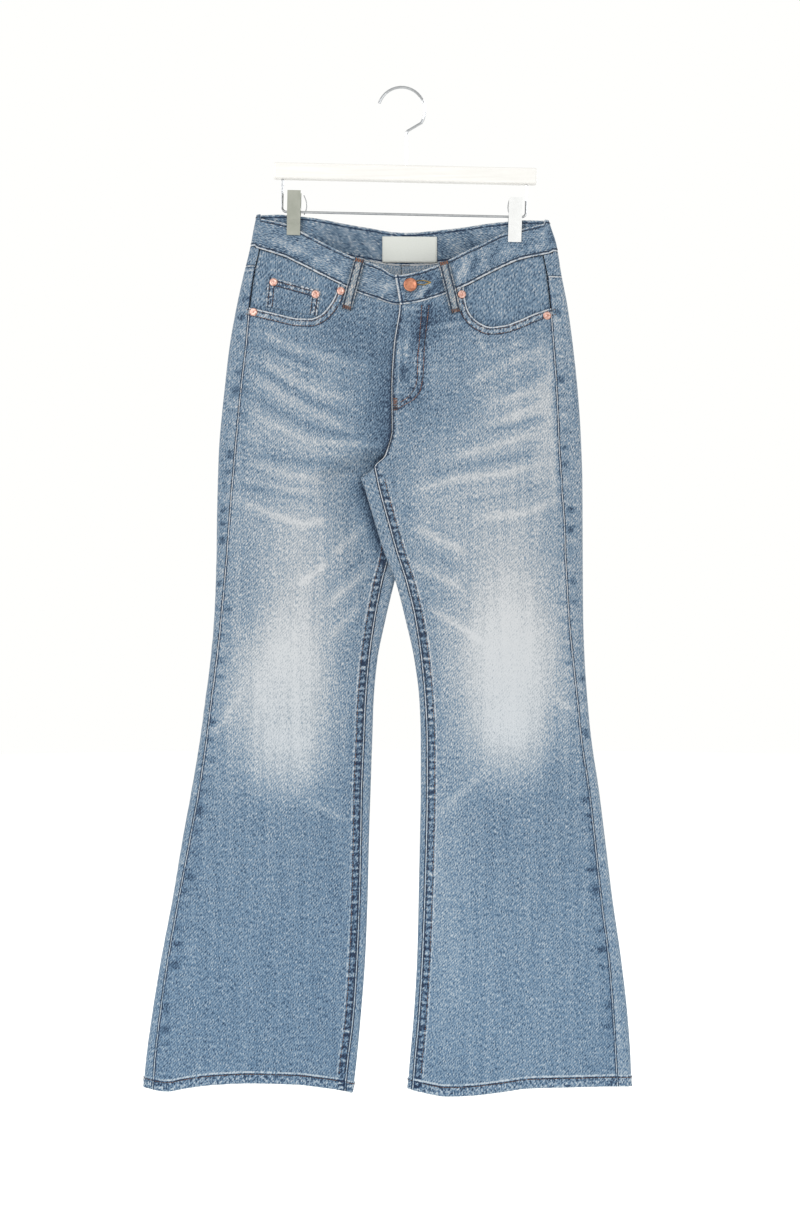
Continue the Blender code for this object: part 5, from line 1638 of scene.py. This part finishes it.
# %% Button and rivets
def slope_frame(side, x, z, reach=4.0):
    point = Vector((x, front_y(side, x, z), z))
    slope_x = (front_y(side, x + reach, z) - front_y(side, x - reach, z)) / (2.0 * reach)
    slope_z = (front_y(side, x, z + reach) - front_y(side, x, z - reach)) / (2.0 * reach)
    return point, Vector((slope_x, -1.0, slope_z)).normalized()


def turned(name, profile, place, stand_off, steps, finish):
    point, out = slope_frame(*place)
    mesh = bmesh.new()
    line = [mesh.verts.new(Vector((radius, 0.0, height)) * MM) for radius, height in profile]
    edges = [mesh.edges.new(pair) for pair in zip(line, line[1:])]
    bmesh.ops.spin(mesh, geom=line + edges, cent=(0, 0, 0), axis=(0, 0, 1), angle=math.tau, steps=steps,
                   use_merge=True)
    bmesh.ops.remove_doubles(mesh, verts=mesh.verts, dist=0.00001)
    bmesh.ops.recalc_face_normals(mesh, faces=mesh.faces)
    turn = out.to_track_quat("Z", "Y").to_matrix().to_4x4()
    bmesh.ops.transform(mesh, matrix=Matrix.Translation((point + out * stand_off) * MM) @ turn,
                        verts=mesh.verts)
    data = bpy.data.meshes.new(name)
    mesh.to_mesh(data)
    mesh.free()
    piece = linked(name, data, finish)
    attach(piece, "root")
    return piece


BUTTON_PLACE = (LEFT, 10.7, -240.0)
BUTTON_PROFILE = ((0.0, 4.1), (4.6, 4.2), (5.6, 4.4), (6.3, 4.85), (7.0, 4.9), (7.6, 4.7), (8.1, 4.2),
                  (8.25, 3.6), (8.0, 3.0), (7.2, 2.4), (3.4, 2.0), (3.4, 0.0), (0.0, 0.0))
RIVET_PROFILE = ((0.0, 2.0), (0.9, 1.9), (1.4, 1.4), (1.9, 1.2), (2.6, 1.55), (3.4, 1.6), (4.3, 1.3),
                 (4.9, 0.8), (5.0, 0.3), (5.0, 0.0), (0.0, 0.0))
RIVET_SEAT = 0.4
RIVETS = {
    "rivet_coin_outer": (RIGHT, -153.8, -235.0, 0.2),
    "rivet_coin_inner": (RIGHT, -103.0, -250.4, 0.5),
    "rivet_right_inner": (RIGHT, -72.6, -246.8, 0.0),
    "rivet_right_outer": (RIGHT, -177.8, -271.0, 0.0),
    "rivet_left_inner": (LEFT, 72.2, -251.0, 0.0),
    "rivet_left_outer": (LEFT, 174.8, -275.3, 0.0),
}
copper = mottled("worn_copper", ((260.0, 260.0, 260.0), 3.0),
                 ((0.3, (0.24, 0.085, 0.05)), (0.62, (0.46, 0.20, 0.12))),
                 (0.28, 0.2), (0.1, 0.0003), Metallic=0.8)
rose = mottled("rubbed_copper", ((420.0, 420.0, 420.0), 3.0),
               ((0.35, (0.34, 0.15, 0.11)), (0.62, (0.62, 0.42, 0.36))),
               (0.3, 0.2), (0.25, 0.0004), Metallic=0.7)
button = turned("waist_button_turned", BUTTON_PROFILE, BUTTON_PLACE, 0.35, 48, copper.material)
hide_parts("waist_button")
for name, (side, x, z, sink) in RIVETS.items():
    rivet = turned(name + "_turned", RIVET_PROFILE, (side, x, z), RIVET_SEAT - sink, 28, rose.material)
    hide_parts(name)
print("rivets:", len(RIVETS))

# %% [markdown]
# The hanger keeps its own solids where they are right. The bar is painted wood, the wires are bright
# chrome and the clips are pale plates, so those nodes only need their finishes.

# %% Hanger
paint = mottled("satin_paint", ((14.0, 200.0, 420.0), 4.0, 0.55),
                ((0.3, (0.60, 0.59, 0.565)), (0.7, (0.66, 0.65, 0.63))),
                (0.4, 0.1), (0.08, 0.0003))
chrome = mottled("bright_chrome", ((300.0, 300.0, 300.0), 2.0),
                 ((0.2, (0.30, 0.31, 0.32)), (0.8, (0.42, 0.43, 0.44))),
                 (0.12, 0.1), Metallic=1.0)
grey_coat = mottled("clip_coat_grey", ((90.0, 90.0, 90.0), 2.0),
                    ((0.3, (0.225, 0.235, 0.198)), (0.7, (0.262, 0.27, 0.232))), (0.38, 0.1))
# The two clips are the same grey plate; the left one's paler copy of the coat is a painted highlight.
clip_coat_painted_highlight = mottled("clip_coat_lit_copy", ((90.0, 90.0, 90.0), 2.0),
                     ((0.3, (0.56, 0.565, 0.56)), (0.7, (0.62, 0.625, 0.62))), (0.38, 0.1))
NODE_FINISHES = {"hanger_bar": paint, "hanger_hook": chrome, "hanger_rail": chrome,
                 "clip_right": grey_coat, "clip_left": clip_coat_painted_highlight}
for name, finish in NODE_FINISHES.items():
    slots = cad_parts[name].material_slots
    for material_slot in slots:
        material_slot.material = finish.material
print("hanger finishes:", len(NODE_FINISHES))

# %% [markdown]
# Inside each clip a thin spring bows from one plate to the other. It is too fine for a solid.

# %% Springs
def wire(name, points, thickness, sides=8):
    """A bent wire: a ring of the wire's section, extruded from point to point."""
    mesh = bmesh.new()
    spots = [Vector(point) for point in points]
    ways = [(after - before).normalized() for before, after in
            zip(spots[:1] + spots[:-1], spots[1:] + spots[-1:])]
    ring = bmesh.ops.create_circle(mesh, cap_ends=True, segments=sides, radius=0.5 * thickness * MM)["verts"]
    turn = Vector((0.0, 0.0, 1.0)).rotation_difference(ways[0])
    bmesh.ops.rotate(mesh, verts=ring, cent=(0.0, 0.0, 0.0), matrix=turn.to_matrix())
    bmesh.ops.translate(mesh, verts=ring, vec=spots[0] * MM)
    face = mesh.faces[:][0]
    for k in range(1, len(spots)):
        grown = bmesh.ops.extrude_face_region(mesh, geom=[face])["geom"]
        if k > 1:
            bmesh.ops.delete(mesh, geom=[face], context="FACES_ONLY")
        ring = [item for item in grown if isinstance(item, bmesh.types.BMVert)]
        face = [item for item in grown if isinstance(item, bmesh.types.BMFace)][0]
        bmesh.ops.translate(mesh, verts=ring, vec=(spots[k] - spots[k - 1]) * MM)
        bend = ways[k - 1].rotation_difference(ways[k])
        bmesh.ops.rotate(mesh, verts=ring, cent=spots[k] * MM, matrix=bend.to_matrix())
    bmesh.ops.recalc_face_normals(mesh, faces=mesh.faces)
    data = bpy.data.meshes.new(name)
    mesh.to_mesh(data)
    mesh.free()
    piece = linked(name, data, chrome.material)
    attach(piece, "root")


SPRINGS = (("spring_right", -118.4, -129.0, 1), ("spring_left", 132.4, -131.5, -1))
for name, x, top, way in SPRINGS:
    bow = [(x + way * (0.6 + 3.6 * math.sin(math.pi * t)), -3.4 * math.cos(math.pi * t), top - 23.0 * t)
           for t in np.linspace(0.02, 0.98, 15)]
    wire(name, bow, 1.2)
print("spring wires:", len(SPRINGS))

# %% [markdown]
# Each sheet of cloth says the size it was cut to. The panels are cut curved, so their flat area is
# given too, measured here along the finished cloth.

# %% The cut of each sheet
BAND_CUT = (0.78, 0.038)
ROUND_THE_FOLDS = 0.045
LOOP_CUT = 0.066


def flat_size(piece):
    corners = np.array([vertex.co[:] for vertex in piece.data.vertices])
    size = corners.max(axis=0) - corners.min(axis=0)
    area = sum(face.area for face in piece.data.polygons)
    return size, area


for name, piece in pieces.items():
    size, area = flat_size(piece)
    width, length = float(size[0]), float(size[2])
    if name == "waistband":
        width, length = BAND_CUT
    if name.startswith("back_panel"):
        width = width + ROUND_THE_FOLDS
    if name.startswith("belt_loop"):
        width, length = LOOP_WIDTH * MM, LOOP_CUT
    print(name, "cloth area", round(area, 4), "of", round(width, 3), "x", round(length, 3))

# %% [markdown]
# The studio is plain: a pale floor well below the hems, an even white surround and soft lamps from
# the upper left, the right and behind, so the back is lit as well as the front.

# %% Studio
FLOOR_LEVEL = -1.46
AIM = Vector((0.0, 0.0, -0.62))
mesh = bmesh.new()
bmesh.ops.create_circle(mesh, cap_ends=True, segments=96, radius=9.0,
                        matrix=Matrix.Translation((0.0, 0.0, FLOOR_LEVEL)))
data = bpy.data.meshes.new("studio_floor")
mesh.to_mesh(data)
mesh.free()
floor = bpy.data.objects.new("studio_floor", data)
bpy.context.scene.collection.objects.link(floor)
floor_finish = Finish("floor_paper")
floor_finish.surface(Base_Color=(0.9, 0.9, 0.89, 1.0), Roughness=0.9)
floor_finish.surface(**{"Emission Color": (1.0, 1.0, 0.98, 1.0), "Emission Strength": 0.12})
data.materials.append(floor_finish.material)

world = bpy.data.worlds.new("studio")
world.use_nodes = True
world.node_tree.nodes["Background"].inputs["Color"].default_value = (1.0, 1.0, 0.985, 1.0)
world.node_tree.nodes["Background"].inputs["Strength"].default_value = 1.0
bpy.context.scene.world = world
LAMPS = (
    # name, place, size, watts
    ("key", (-1.7, -2.5, 0.7), 1.4, 46.0),
    ("fill", (1.9, -2.2, -0.2), 1.8, 14.0),
    ("rear_key", (1.6, 2.5, 0.7), 1.4, 40.0),
    ("rear_fill", (-1.9, 2.2, -0.2), 1.8, 14.0),
)
for name, place, size, watts in LAMPS:
    lamp = bpy.data.lights.new(name, "AREA")
    lamp.size = size
    lamp.energy = watts
    light = bpy.data.objects.new(name, lamp)
    light.location = place
    light.rotation_euler = (AIM - Vector(place)).to_track_quat("-Z", "Y").to_euler()
    bpy.context.scene.collection.objects.link(light)
print("lamps:", len(LAMPS))

# %% [markdown]
